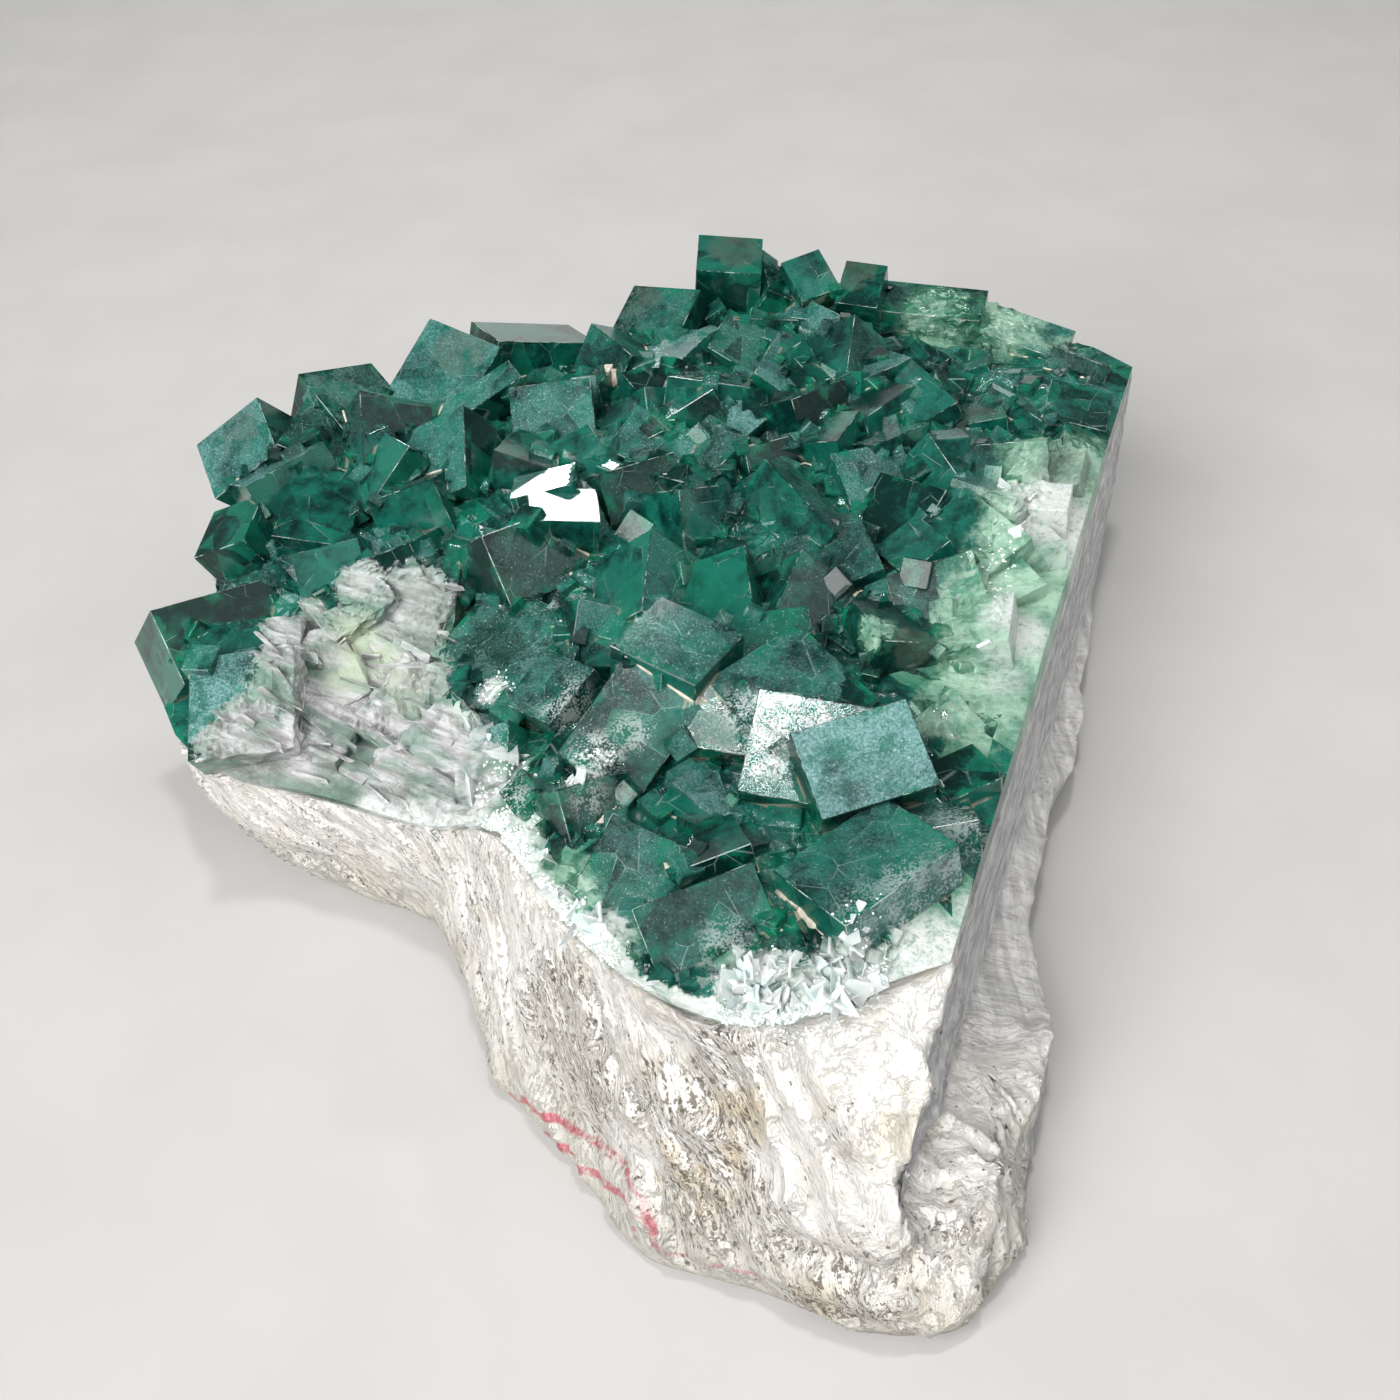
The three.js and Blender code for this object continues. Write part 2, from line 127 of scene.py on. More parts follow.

# Zones of the crust and the frost on it, the frost on the face that mirrors the overhead panel a painted
# highlight: a centre in mm, a radius in mm and a strength
ZONES = {
    "pale": (
        ((86, 128, 69), 18, 0.7), ((106, 119, 67), 18, 0.7), ((122, 110, 64), 12, 0.5),
        ((-26, -82, 54), 14, 0.8), ((-14, -96, 54), 10, 0.5), ((64, -45, 61), 8, 0.8),
        ((47, -19, 67), 9, 0.9), ((70, -12, 66), 13, 0.8),
    ),
    "white": (
        ((14, -110, 56), 13, 0.9), ((31, -111, 55), 15, 1.0), ((48, -106, 56), 15, 1.0),
        ((60, -96, 56), 10, 0.8), ((-18, -94, 54), 10, 0.9), ((-30, -84, 53), 9, 0.9),
        ((-38, -66, 52), 13, 0.8), ((-43, -17, 54), 7, 0.6), ((99, 24, 62), 20, 1.0),
        ((82, -16, 64), 12, 0.9), ((76, -30, 62), 9, 0.5),
    ),
    "fibrous": (
        ((-80, -8, 48), 35, 1.0), ((-62, -34, 47), 25, 1.0), ((-100, -24, 44), 22, 1.0),
        ((-66, 16, 54), 18, 0.8), ((-46, -44, 48), 16, 0.9), ((-96, 12, 54), 12, 0.9),
        ((-80, 22, 58), 10, 0.8),
    ),
    "olive": (
        ((-80, 2, 52), 15, 1.0), ((-66, -10, 50), 9, 0.6),
    ),
    "smoky": (
        ((-104, -26, 42), 12, 0.9), ((-84, -34, 40), 13, 0.9), ((-66, -44, 42), 13, 0.8),
        ((-52, -52, 44), 9, 0.7), ((-60, 10, 54), 13, 0.8), ((-60, -14, 50), 8, 0.6),
        ((56, -22, 64), 9, 0.8), ((106, 44, 64), 15, 0.9), ((-112, -14, 46), 8, 0.7),
        ((25, 144, 85), 13, 0.8), ((-58, 107, 77), 14, 0.7), ((60, 138, 78), 14, 0.8),
        ((-119, 79, 71), 12, 0.6), ((-5, 132, 77), 11, 0.6),
    ),
    "frost": (
        ((-18, -51, 63), 8, 1.0), ((-25, -32, 62), 9, 0.8), ((-10, -46, 65), 6, 0.6),
        # Of these, the four from (16, -44, 69) to (31, -46, 68) are a painted highlight on the face that
        # mirrors the overhead panel
        ((-22, -60, 60), 8, 0.9), ((16, -44, 69), 9, 1.0), ((24, -46, 68), 8, 0.9),
        ((17, -55, 65), 9, 0.85), ((31, -46, 68), 6, 1.0), ((44, -95, 63), 10, 0.6),
        ((35, -99, 65), 8, 0.35), ((53, -88, 62), 8, 0.6), ((58, -76, 62), 10, 0.6),
        ((-38, -58, 54), 12, 1.0), ((-44, -40, 52), 10, 0.8), ((8, -100, 58), 8, 0.5),
    ),
}

# Clay in the seams: a centre in mm, a radius in mm and the widest clay in mm there
CLAY_SPOTS = (
    ((12, -93, 58), 12, 1.8), ((20, -94, 58), 9, 1.8), ((6, -101, 56), 7, 1.2), ((0, -49, 58), 7, 1.8),
    ((-9, -81, 61), 8, 1.8), ((-15, -62, 60), 7, 1.2), ((-30, -76, 54), 8, 2.6), ((64, -48, 59), 6, 1.8),
    ((-14, 100, 71), 9, 2.0),
)

# Loose flakes and grains: a centre in mm, a radius in mm and how many
FLAKE_SPOTS = (
    ((14, -108, 56), 9, 30), ((31, -110, 55), 11, 50), ((48, -105, 56), 10, 40), ((-22, -90, 54), 9, 18),
    ((-48, -30, 50), 9, 5), ((96, 12, 62), 22, 14), ((78, -26, 62), 12, 8),
    ((60, -62, 58), 7, 8), ((-22, -56, 62), 6, 7),
)
BLADE_SPOTS = (
    ((-82, -10, 49), 20, 18), ((-62, -32, 48), 15, 14), ((-98, -20, 45), 13, 10), ((-62, 8, 54), 11, 6),
)
SHARD_SPOTS = (
    ((13, -109, 56), 7, 16), ((28, -112, 55), 9, 15), ((46, -106, 55), 9, 13), ((58, -97, 56), 7, 9),
    ((-22, -90, 54), 8, 8), ((-32, -78, 54), 7, 6), ((96, 16, 62), 18, 10), ((-46, -40, 50), 12, 5),
)
FROST_SPOTS = (
    ((-18, -52, 63), 5, 60), ((-43, -17, 54), 6, 60), ((14, -108, 56), 8, 90), ((34, -108, 56), 12, 200),
    ((52, -100, 56), 9, 110), ((-36, -60, 53), 8, 90), ((86, 0, 62), 16, 200), ((100, 24, 60), 12, 160),
    ((58, -88, 58), 6, 80), ((-40, -46, 50), 9, 90), ((-26, -86, 54), 9, 90), ((70, -60, 58), 8, 60),
)

# The red streaks along the foot, in mm, and the dark red spot below them
RED_LINES = (
    ((-42, -96, 3), (-32, -106, 9), (-24, -112, 11), (-18, -121, 15), (-13, -128, 14), (-10, -135, 6)),
    ((-34, -104, 2), (-30, -110, 4), (-24, -118, 6), (-17, -126, 11), (-13, -131, 11), (-10, -135, 6)),
)
RED_TAIL = ((-9, -135, 6), (-2, -138, 6), (6, -140, 8), (11, -143, 8))
RED_SPOT = (-15.7, -131.6, 6.7)

# Chosen flat faces: a place on the face in mm, its direction, the reach in mm, its film and its tone. The
# film is partly etched frost and partly painted sheen, the room's reflection painted in.
FILM_AND_SHEEN_FACES = (
    ((39.5, -68.6, 68.9), (0.04, -0.419, 0.907), 32, 1.0, 1.0),
    ((21.9, -44.4, 69.1), (0.0, -0.34, 0.94), 28, 0.1, 1.0),
    ((7.3, -47.5, 64.2), (0.06, -0.34, 0.94), 14, 0.8, 0.15),
    ((39.8, -82.3, 65.8), (-0.131, 0.111, 0.985), 30, 0.35, 0.6),
    ((41.9, -97.6, 59.4), (0.56, -0.81, 0.17), 30, 0.8, 0.9),
    ((2.6, -98.5, 58.3), (0.09, -0.489, 0.868), 24, 0.28, 0.5),
    ((-22.4, -48.2, 64.3), (0.04, -0.42, 0.91), 26, 0.15, 0.5),
    ((15.2, -28.6, 68.8), (0.04, -0.171, 0.984), 24, 0.45, 0.5),
    ((6.4, -25.1, 72.5), (0.08, -0.03, 0.996), 22, 0.5, 0.4),
    ((-31.6, 46.1, 72.2), (-0.179, 0.179, 0.967), 14, 0.25, 0.8),
    ((-30.9, 33.6, 73.8), (0.171, -0.03, 0.985), 14, 0.25, 0.8),
    ((-116.6, -3.0, 57.3), (-0.08, -0.43, 0.9), 22, 0.8, 1.0),
)

# Rock: triangles are joined into quads across these angles, in degrees, before they are subdivided
QUAD_FACE_ANGLE, QUAD_SHAPE_ANGLE = 35, 50

# Rock relief: its folds and its thin layers, in metres, and its depth as a share of the setting
FOLD_SIZE = 0.016
LAYER_SCALE = (0.045, 0.045, 0.0042)
RELIEF_SHARE, RELIEF_MIDDLE = 0.8, 0.6

# The toe of the rock: its middle and its reach in mm
TOE_PLACE, TOE_REACH = (48, -151, 6), 19

# The crumpled stone of the foot and the toe: the depth of its lumps in mm and their fineness per metre, and
# for its creases the depth, the level that they are counted from and the fineness
LUMP_DEPTH, LUMP_FINENESS = 3.0, 60
CREASES = ((2.4, 0.35, 105), (1.1, 0.3, 240))

# The clean panel at the rock's front: its middle and its reach in mm
PANEL_PLACE, PANEL_REACH = (38, -124, 46), 28

# The broken bed of the crust: the height in mm and the fineness per metre of its two waves
BED_WAVES = ((1.1, 260), (0.6, 610))

# Etched films, partly painted sheen: how many of the faces have a thick one, and how strong the thick and
# the thin ones are
FILM_AND_SHEEN_SHARE = 0.4
THICK_FILM_AND_SHEEN, THIN_FILM_AND_SHEEN = (0.4, 1.0), (0.0, 0.2)

# How far the rims, the crevices and the white border are told from the rest, in mm
RIM_REACH, BORDER_REACH = 6, 8

# Small cubes: sizes in mm, spacing as a share of two sizes, how deep they sink and how they stretch
CUBE_SIZES = (2.6, 8.0)
CUBE_SPACING = 0.55
CUBE_SINK = (0.12, 0.42)
CUBE_STRETCH = (0.8, 1.2)
CUBE_STEPS = (0.0, 0.03, -0.02)

# Loose pieces: sizes in mm
FLAKE_SIZES, SHARD_SIZES = (1.6, 6.5), (3.5, 8.0)
BLADE_LENGTHS, BLADE_WIDTHS, BLADE_HEIGHTS = (5, 15), (0.4, 0.9), (1.2, 3.0)
GRAIN_SIZES, FROST_SIZES = (0.3, 1.0), (0.4, 1.3)

# How far a face may lie off a chosen face's plane, in mm, and how well its direction has to agree
FILM_AND_SHEEN_OFF = 1.2
FILM_AND_SHEEN_AGREES = 0.985

# Angles in degrees: what counts as one flat face, a soft edge that isn't worn, a ridge or hollow between
# two crystals, and a seam that holds clay
FLAT_ANGLE = 0.4
SOFT_ANGLE = 24
CREASE_ANGLE = 14.0
SEAM_ANGLE = 40

# Edges of the crust's upper faces are split down to this length, in mm
FINE_EDGE = 2.25

# No small cube grows within this reach of the two bright faces, both in mm
FLASH_PLACE = (-31, 40, 73)
FLASH_REACH = 14

# The crust's materials, in their order on its mesh
FACET, DARK_BED, SUGAR, EDGE = 0, 1, 2, 3

# What each random choice starts from
FACE_SEED, SUGAR_SEED, FLAKE_SEED, GRAIN_SEED = 7, 3, 21, 22

# Straight up and down, the height that rays start from in metres, and how far over a small cube they start
UP = Vector((0, 0, 1))
DOWN = Vector((0, 0, -1))
RAY_HEIGHT = 0.15
RISE = Vector((0, 0, 30 * MM))

# Directions, as angles, in which the ground around a small cube is tried
LOOK_AROUND = (0.3, 1.9, 3.4, 5.0)


def deselect():
    """Back to object mode with nothing selected."""
    if bpy.context.object and bpy.context.object.mode != "OBJECT":
        bpy.ops.object.mode_set(mode="OBJECT")
    bpy.ops.object.select_all(action="DESELECT")


def activate(piece):
    """Only this piece is selected and active."""
    deselect()
    piece.select_set(True)
    bpy.context.view_layer.objects.active = piece


def edit_all(piece, operator, **settings):
    """One edit operator on the whole mesh of a piece."""
    activate(piece)
    bpy.ops.object.mode_set(mode="EDIT")
    bpy.ops.mesh.select_all(action="SELECT")
    operator(**settings)
    bpy.ops.object.mode_set(mode="OBJECT")


def apply_modifier(piece, kind, **settings):
    """A modifier with these settings, applied at once."""
    activate(piece)
    made = piece.modifiers.new(kind.lower(), kind)
    for name, value in settings.items():
        setattr(made, name, value)
    bpy.ops.object.modifier_apply(modifier=made.name)


def placed(name, mesh):
    """An object of this mesh, in the scene."""
    piece = bpy.data.objects.new(name, mesh)
    bpy.context.scene.collection.objects.link(piece)
    return piece


def node_copy(node, name):
    """A merged copy of a CAD node's mesh, as an object of its own."""
    deselect()
    piece = placed(name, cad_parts[node].data.copy())
    piece.data.name = name
    piece.data.materials.clear()
    activate(piece)
    bpy.ops.mesh.customdata_custom_splitnormals_clear()
    edit_all(piece, bpy.ops.mesh.remove_doubles, threshold=1e-6)
    return piece


def bare_crust(name):
    """A copy of the crust's solid in which each flat face of a crystal is one face."""
    crust = node_copy(CRUST_NODE, name)
    edit_all(crust, bpy.ops.mesh.dissolve_limited, angle_limit=math.radians(FLAT_ANGLE))
    return crust


def read(items, name, width=1, kind=float):
    """One property of all vertices, edges, faces or corners as an array."""
    values = np.zeros(len(items) * width, kind)
    items.foreach_get(name, values)
    return values.reshape(-1, width) if width > 1 else values


def vertex_places(mesh):
    """The mesh's vertices as an array of places."""
    return read(mesh.vertices, "co", 3)


def vertex_normals(mesh):
    """The mesh's vertex normals as an array."""
    return read(mesh.vertex_normals, "vector", 3)


def face_centres(mesh):
    """The middles of the mesh's faces as an array of places."""
    return read(mesh.polygons, "center", 3)


def face_normals(mesh):
    """The directions of the mesh's faces as an array."""
    return read(mesh.polygons, "normal", 3)


def stored(mesh, name):
    """What store kept under this name."""
    return read(mesh.attributes[name].data, "value", kind=np.float32)


def store(mesh, name, values, domain="POINT"):
    """Keeps one number per vertex or face as a named attribute that a material reads."""
    found = mesh.attributes.get(name) or mesh.attributes.new(name, "FLOAT", domain)
    found.data.foreach_set("value", np.asarray(values, np.float32))


def store_all(mesh, marks):
    """Keeps several named marks of the vertices."""
    for name, values in marks.items():
        store(mesh, name, values)


def smoothstep(low, high, value):
    """0 below low, 1 above high and smooth between them."""
    share = np.clip((value - low) / (high - low), 0, 1)
    return share * share * (3 - 2 * share)


def near(places, centre, radius):
    """1 at a centre given in mm, falling smoothly to 0 at a radius in mm."""
    distance = np.linalg.norm(places - np.array(centre) * MM, axis=-1)
    return 1 - smoothstep(0.4 * radius * MM, radius * MM, distance)


def near_line(places, line, radius):
    """1 along a line of points in mm, falling smoothly to 0 at a radius in mm."""
    best = np.full(len(places), np.inf)
    for first, last in zip(line[:-1], line[1:]):
        start, step = np.array(first) * MM, (np.array(last) - np.array(first)) * MM
        share = np.clip((places - start) @ step / (step @ step), 0, 1)
        best = np.minimum(best, np.linalg.norm(places - start - share[:, None] * step, axis=1))
    return 1 - smoothstep(0.0, radius * MM, best)


def is_socket(value):
    """Whether a value comes out of another node."""
    return isinstance(value, bpy.types.NodeSocket)


def fill_in(node, inputs):
    """Sets or links a node's inputs."""
    for name, value in inputs.items():
        if is_socket(value):
            node.id_data.links.new(value, node.inputs[name])
        else:
            node.inputs[name].default_value = value


def add(tree, kind, inputs=None, **settings):
    """A shader node with its settings, and its inputs set or linked."""
    made = tree.nodes.new("ShaderNode" + kind)
    for name, value in settings.items():
        setattr(made, name, value)
    fill_in(made, inputs or {})
    return made


def new_material(name):
    """A node material with its Principled shader, its output and Object coordinates."""
    material = bpy.data.materials.new(name)
    material.use_nodes = True
    tree = material.node_tree
    tree.nodes.clear()
    output = add(tree, "OutputMaterial")
    shader = add(tree, "BsdfPrincipled")
    tree.links.new(shader.outputs["BSDF"], output.inputs["Surface"])
    coordinates = add(tree, "TexCoord").outputs["Object"]
    return material, tree, shader, output, coordinates


def rgba(colour):
    """A colour with full alpha; one from a node stays as it is."""
    return colour if is_socket(colour) else (*colour[:3], 1.0)


def mix(factor, first, second):
    """One colour blended over another by a factor from a node."""
    inputs = {0: factor, 6: rgba(first), 7: rgba(second)}
    return add(factor.id_data, "Mix", inputs, data_type="RGBA").outputs[2]


def coated(colour, *coats):
    """A colour under coats, the lowest first, each with its share and its colour."""
    for share, coat in coats:
        colour = mix(share, colour, coat)
    return colour


def noise(where, size_mm, detail=4.0, roughness=0.55):
    """Fractal noise from 0 to 1 with lumps of this size."""
    inputs = {"Vector": where, "Scale": 1 / (size_mm * MM), "Detail": detail, "Roughness": roughness}
    return add(where.id_data, "TexNoise", inputs).outputs["Fac"]


def stretched(where, scale=(1.0, 1.0, 1.0), turn=(0, 0, 0)):
    """Coordinates that are turned and scaled, so that a pattern on them is drawn out."""
    inputs = {"Vector": where, "Rotation": turn, "Scale": scale}
    return add(where.id_data, "Mapping", inputs).outputs["Vector"]


def ramp(value, low, high, to_low=0.0, to_high=1.0):
    """A value mapped smoothly from one range to another."""
    inputs = {"Value": value, "From Min": low, "From Max": high, "To Min": to_low, "To Max": to_high}
    return add(value.id_data, "MapRange", inputs, interpolation_type="SMOOTHSTEP").outputs["Result"]


def calculate(operation, first, second=0.0, clamp=False):
    """One arithmetic step between two values, at least one of them from a node."""
    tree = (first if is_socket(first) else second).id_data
    return add(tree, "Math", {0: first, 1: second}, operation=operation, use_clamp=clamp).outputs[0]


def times(first, *others):
    """The product of several values."""
    for other in others:
        first = calculate("MULTIPLY", first, other)
    return first


def minus(first, second, clamp=False):
    """The difference of two values."""
    return calculate("SUBTRACT", first, second, clamp)


def total(*terms, clamp=False):
    """The sum of several terms, each a value or a value with its weight."""
    first, *others = [times(*term) if isinstance(term, tuple) else term for term in terms]
    for other in others:
        first = calculate("ADD", first, other, clamp)
    return first


def off_middle(value):
    """How far a noise is from its middle, so that its ramp draws thin lines."""
    return calculate("ABSOLUTE", minus(value, 0.5))


def attribute(tree, name):
    """A number stored on the mesh."""
    return add(tree, "Attribute", attribute_name=name).outputs["Fac"]


def bump(height, distance_mm, strength=1.0):
    """Surface relief for a shader's normal."""
    inputs = {"Height": height, "Distance": distance_mm * MM, "Strength": strength}
    return add(height.id_data, "Bump", inputs).outputs["Normal"]


def colour(name, description, default):
    """A colour on the panel."""
    return FloatVectorProperty(
        name=name, description=description, subtype="COLOR", default=default, min=0, max=1)


def number(name, description, default, most=1000.0, unit="NONE"):
    """A number on the panel, from 0 up."""
    return FloatProperty(name=name, description=description, default=default, min=0, max=most, unit=unit)


def power(name, where, default):
    """The power of a lamp on the panel."""
    return number(name, "Power of the " + where, default, unit="POWER")


class StageSettings(bpy.types.PropertyGroup):
    """Floor and light"""

    floor_colour: colour("Floor", "Colour of the plain floor", (0.432, 0.428, 0.419))
    room: number("Room light", "Strength of the pale room around the specimen", 0.17)
    panel: power("Overhead panel", "small panel overhead", 4.6)
    glint: power("Glints", "two narrow lamps that two faces mirror", 0.004)
    fill: power("Front fill", "large soft panel at the front left", 138.0)
    side: power("Side fill", "soft panel at the right", 32.0)
    wall: power("Back panel", "low soft panel behind the specimen", 10.0)
    ceiling: power("Ceiling panel", "soft panel that the front faces mirror", 8.0)


class RockSettings(bpy.types.PropertyGroup):
    """The matrix rock"""

    white: colour("White", "Colour of the clean rock", (0.93, 0.915, 0.875))
    fleck: colour("Fleck", "Colour of the grey-brown flecks", (0.14, 0.115, 0.085))
    # The tan also paints shade at the toe
    stain_and_shade: colour("Stain", "Colour of the tan stains", (0.66, 0.53, 0.33))
    streak: colour("Streak", "Colour of the red streaks at the foot", (0.62, 0.13, 0.18))
    relief: number("Relief", "Depth of the layered relief", 0.0022, unit="LENGTH")
    levels: IntProperty(
        name="Levels", description="How finely the rock is subdivided", default=3, min=0, max=4)


class CrystalSettings(bpy.types.PropertyGroup):
    """The fluorite"""

    deep: colour("Deep", "Colour of the darkest crystal", (0.002, 0.036, 0.029))
    teal: colour("Teal", "Colour of most of the crystal", (0.012, 0.215, 0.155))
    # Also painted along the crystal edges as light coming through them
    emerald: colour("Emerald", "Colour of the bright green zones", (0.010, 0.30, 0.17))
    # The film's two colours: partly etched frost, partly a painted sheen for the room reflected in faces
    # that look up
    haze_and_sheen: colour("Haze", "Colour of the etched film on some faces", (0.34, 0.65, 0.67))
    dull: colour("Dull", "Colour of the greener film on other faces", (0.14, 0.36, 0.28))
    pale: colour("Pale", "Colour of the pale sugary fluorite", (0.52, 0.78, 0.60))
    olive: colour("Olive", "Colour of the clear olive zone of the west slope", (0.56, 0.66, 0.50))
    smoke: colour("Smoke", "Colour of the smoky zones", (0.16, 0.21, 0.17))
    clay: colour("Clay", "Colour of the clay in the seams", (0.58, 0.54, 0.44))
    absorbed: colour("Absorption", "Colour that the crystal lets through", (0.05, 0.66, 0.56))
    density: number("Density", "How quickly light fades in the crystal", 90.0)
    refraction: number("Refraction", "Index of refraction of fluorite", 1.434, most=2)
    clearness: number("Clearness", "Share of light that enters the crystal", 0.6, most=1)
    edge: number("Edge width", "Width of the worn edges", 0.00025, unit="LENGTH")
    small_count: IntProperty(
        name="Small cubes", description="How many small cubes grow in the seams", default=620, min=0)
    seed: IntProperty(name="Seed", description="Chooses where the small cubes grow", default=5)


def rock_material(settings):
    """White foliated rock: wavy hairlines, lens-shaped flecks, stains, red streaks, a grey sawn side and
    painted shade.
    """
    material, tree, shader, _, where = new_material("foliated_rock")
    sawn, panel = attribute(tree, "sawn"), attribute(tree, "panel")
    turn = LAYER_NORMAL.rotation_difference(UP).to_euler()
    sway = add(tree, "TexNoise", {"Vector": where, "Scale": 20.0, "Detail": 1.5}).outputs["Color"]
    sway = add(tree, "VectorMath", {0: sway, "Scale": 0.005}, operation="SCALE").outputs["Vector"]
    bent = add(tree, "VectorMath", {0: stretched(where, turn=turn), 1: sway}, operation="ADD")
    bent = bent.outputs["Vector"]
    fibres = stretched(bent, (1.0, 1.0, 10.0))
    layers = noise(fibres, 13, detail=10, roughness=0.70)
    dashes = noise(stretched(bent, (1.8, 1.0, 9.0)), 3.4, detail=3.0, roughness=0.6)
    grit = noise(fibres, 1.6, detail=5, roughness=0.75)
    wisps = noise(fibres, 6, detail=8, roughness=0.65)
    spots = noise(where, 1.1, detail=3, roughness=0.6)
    patches = noise(where, 20, detail=4)
    flecked = times(attribute(tree, "flecked"), ramp(patches, 0.36, 0.52, 0.35, 1.0))
    quiet = minus(1.0, panel, clamp=True)
    busy = times(total((ramp(patches, 0.45, 0.62), 0.35), (flecked, 0.9), clamp=True), quiet)
    cracks = ramp(off_middle(layers), 0.0, 0.02, 1.0, 0.0)
    fine = times(ramp(off_middle(wisps), 0.0, 0.022, 1.0, 0.0), ramp(flecked, 0.1, 0.8, 0.05, 0.8))
    hairs = calculate("MAXIMUM", times(cracks, busy, 0.85), times(fine, 0.7))
    pitted = total(dashes, (busy, 0.13))
    flecks = times(ramp(pitted, 0.655, 0.685), ramp(spots, 0.42, 0.50), ramp(quiet, 0.0, 0.6))
    stains_and_shade = times(ramp(noise(where, 11, detail=6), 0.46, 0.66), attribute(tree, "stained"))
    cream = times(ramp(noise(fibres, 30, detail=6, roughness=0.6), 0.48, 0.60), panel)
    # Painted shade: the rock darkens towards the bottom, under 24 mm, for the shade that falls on its low
    # foot
    grime = ramp(add(tree, "SeparateXYZ", {0: where}).outputs["Z"], 3 * MM, 24 * MM, 0.6, 0.0)
    smear = noise(where, 3.5, detail=8, roughness=0.75)
    streak = times(ramp(smear, 0.38, 0.54), ramp(attribute(tree, "streak"), 0.35, 0.75, 0.0, 0.85))
    scored = noise(stretched(where, (1.0, 0.10, 1.0), (0, 0, SAW_TURN)), 2.6, detail=7, roughness=0.65)
    tint = coated(
        mix(ramp(layers, 0.32, 0.50), SHADES["layer"], settings.white),
        (ramp(grit, 0.30, 0.50, 0.22, 0.0), SHADES["grit"]),
        # Painted shade: a brown-grey shadow over the flecked hollow and the toe
        (times(flecked, ramp(layers, 0.40, 0.54, 0.65, 0.0)), SHADES["shadow"]),
        (times(cream, 0.8), SHADES["cream"]),
        (grime, SHADES["grime"]),
        # Tan stains, and at the toe painted shade in the same tan
        (times(stains_and_shade, 0.7), settings.stain_and_shade),
        (times(flecks, 0.85), settings.fleck),
        (hairs, SHADES["crack"]),
        (streak, settings.streak),
        (sawn, mix(ramp(scored, 0.35, 0.65), SHADES["sawn"], SHADES["saw_score"])),
    )
    height = total(layers, (dashes, -0.35), (grit, 0.5), (spots, 0.25), (cracks, -0.12))
    height = times(height, minus(1.0, times(sawn, 0.9)))
    fill_in(shader, {
        "Base Color": tint, "Roughness": 0.7, "Specular IOR Level": 0.35, "Normal": bump(height, 1.85)})
    return material


def absorb(tree, output, settings):
    """Plain absorption inside a clear piece."""
    volume = add(tree, "VolumeAbsorption", {"Color": rgba(settings.absorbed), "Density": settings.density})
    tree.links.new(volume.outputs["Volume"], output.inputs["Volume"])


def crystal_material(settings, name, film_and_sheen_share, clearness, grain_relief):
    """Green crystal: clear deep green along the edges with a painted glow there, mottled and filmed towards
    the middle, the film partly painted sheen.
    """
    material, tree, shader, output, where = new_material(name)
    tone, film = attribute(tree, "tone"), attribute(tree, "film")
    rim, crevice = attribute(tree, "rim"), attribute(tree, "crevice")
    depth = noise(where, 10, detail=5, roughness=0.6)
    worn = noise(where, 6, detail=12, roughness=0.78)
    speckle = noise(where, 0.55, detail=2, roughness=0.6)
    cloudy = noise(where, 3.6, detail=7, roughness=0.68)
    cell, veil = cleavage(tree, where)
    toned = total(depth, (tone, 0.30), (cell, 0.18), (minus(cloudy, 0.5), 0.7))
    inside = ramp(total(rim, (minus(worn, 0.5), 16.0), (minus(tone, 0.6), 2.5)), -0.8, 0.9)
    # Painted light: a brighter emerald along the crystal edges, for light that comes through their thin rims
    green = times(minus(1.0, inside), ramp(depth, 0.46, 0.60))
    pits = ramp(noise(where, 1.6, detail=4, roughness=0.7), 0.56, 0.63, 1.0, 0.35)
    filmed_and_sheened = times(film, ramp(cell, 0.1, 0.7, 0.7, 1.1))
    etched = times(inside, filmed_and_sheened, times(ramp(worn, 0.40, 0.54, 0.3, 1.0), pits))
    speckled = times(etched, ramp(speckle, 0.40, 0.60, 0.35, 1.0))
    smoke = times(ragged_zone(tree, "smoky", worn), ramp(worn, 0.3, 0.6, 0.9, 0.3))
    seam = times(ramp(crevice, 0.1, 0.8, 1.0, 0.0), ramp(depth, 0.48, 0.6))
    dust = times(ramp(speckle, 0.66, 0.72), total(etched, 0.13))
    # Frost, and on the mirroring face a painted highlight in the same white
    frost = times(attribute(tree, "frost"), ramp(total((worn, 0.6), (speckle, 0.4)), 0.47, 0.55))
    pale = mix(ramp(toned, 0.55, 0.95), SHADES["under_pale"], settings.pale)
    whitened = mix(ramp(worn, 0.40, 0.60), SHADES["rime"], SHADES["snow"])
    tint = coated(
        mix(ramp(toned, 0.54, 0.96), settings.deep, settings.teal),
        (ramp(cell, 0.75, 0.92, 0.0, 0.35), settings.emerald),
        (times(green, 0.8), settings.emerald),
        # Painted sheen: the film's haze, strongest on faces that look up, stands partly for the room they
        # mirror
        (times(speckled, film_and_sheen_share), mix(tone, settings.dull, settings.haze_and_sheen)),
        (times(veil, 0.45), SHADES["veil"]),
        (ragged_zone(tree, "pale", worn, 0.2, 0.8), pale),
        (ragged_zone(tree, "fibrous", worn), fibre_colour(where)),
        (smoke, settings.smoke),
        (ragged_zone(tree, "white", worn), whitened),
        (times(seam, 0.7), SHADES["seam"]),
        (calculate("MAXIMUM", dust, frost), SHADES["frost"]),
    )
    clear_finish(shader, tint, settings, total((etched, 0.32), 0.05, clamp=True), clearness)
    relief = bump(total((speckle, grain_relief), worn), 0.2, 0.4)
    fill_in(shader, {"Specular IOR Level": 0.3, "Normal": relief})
    absorb(tree, output, settings)
    return material


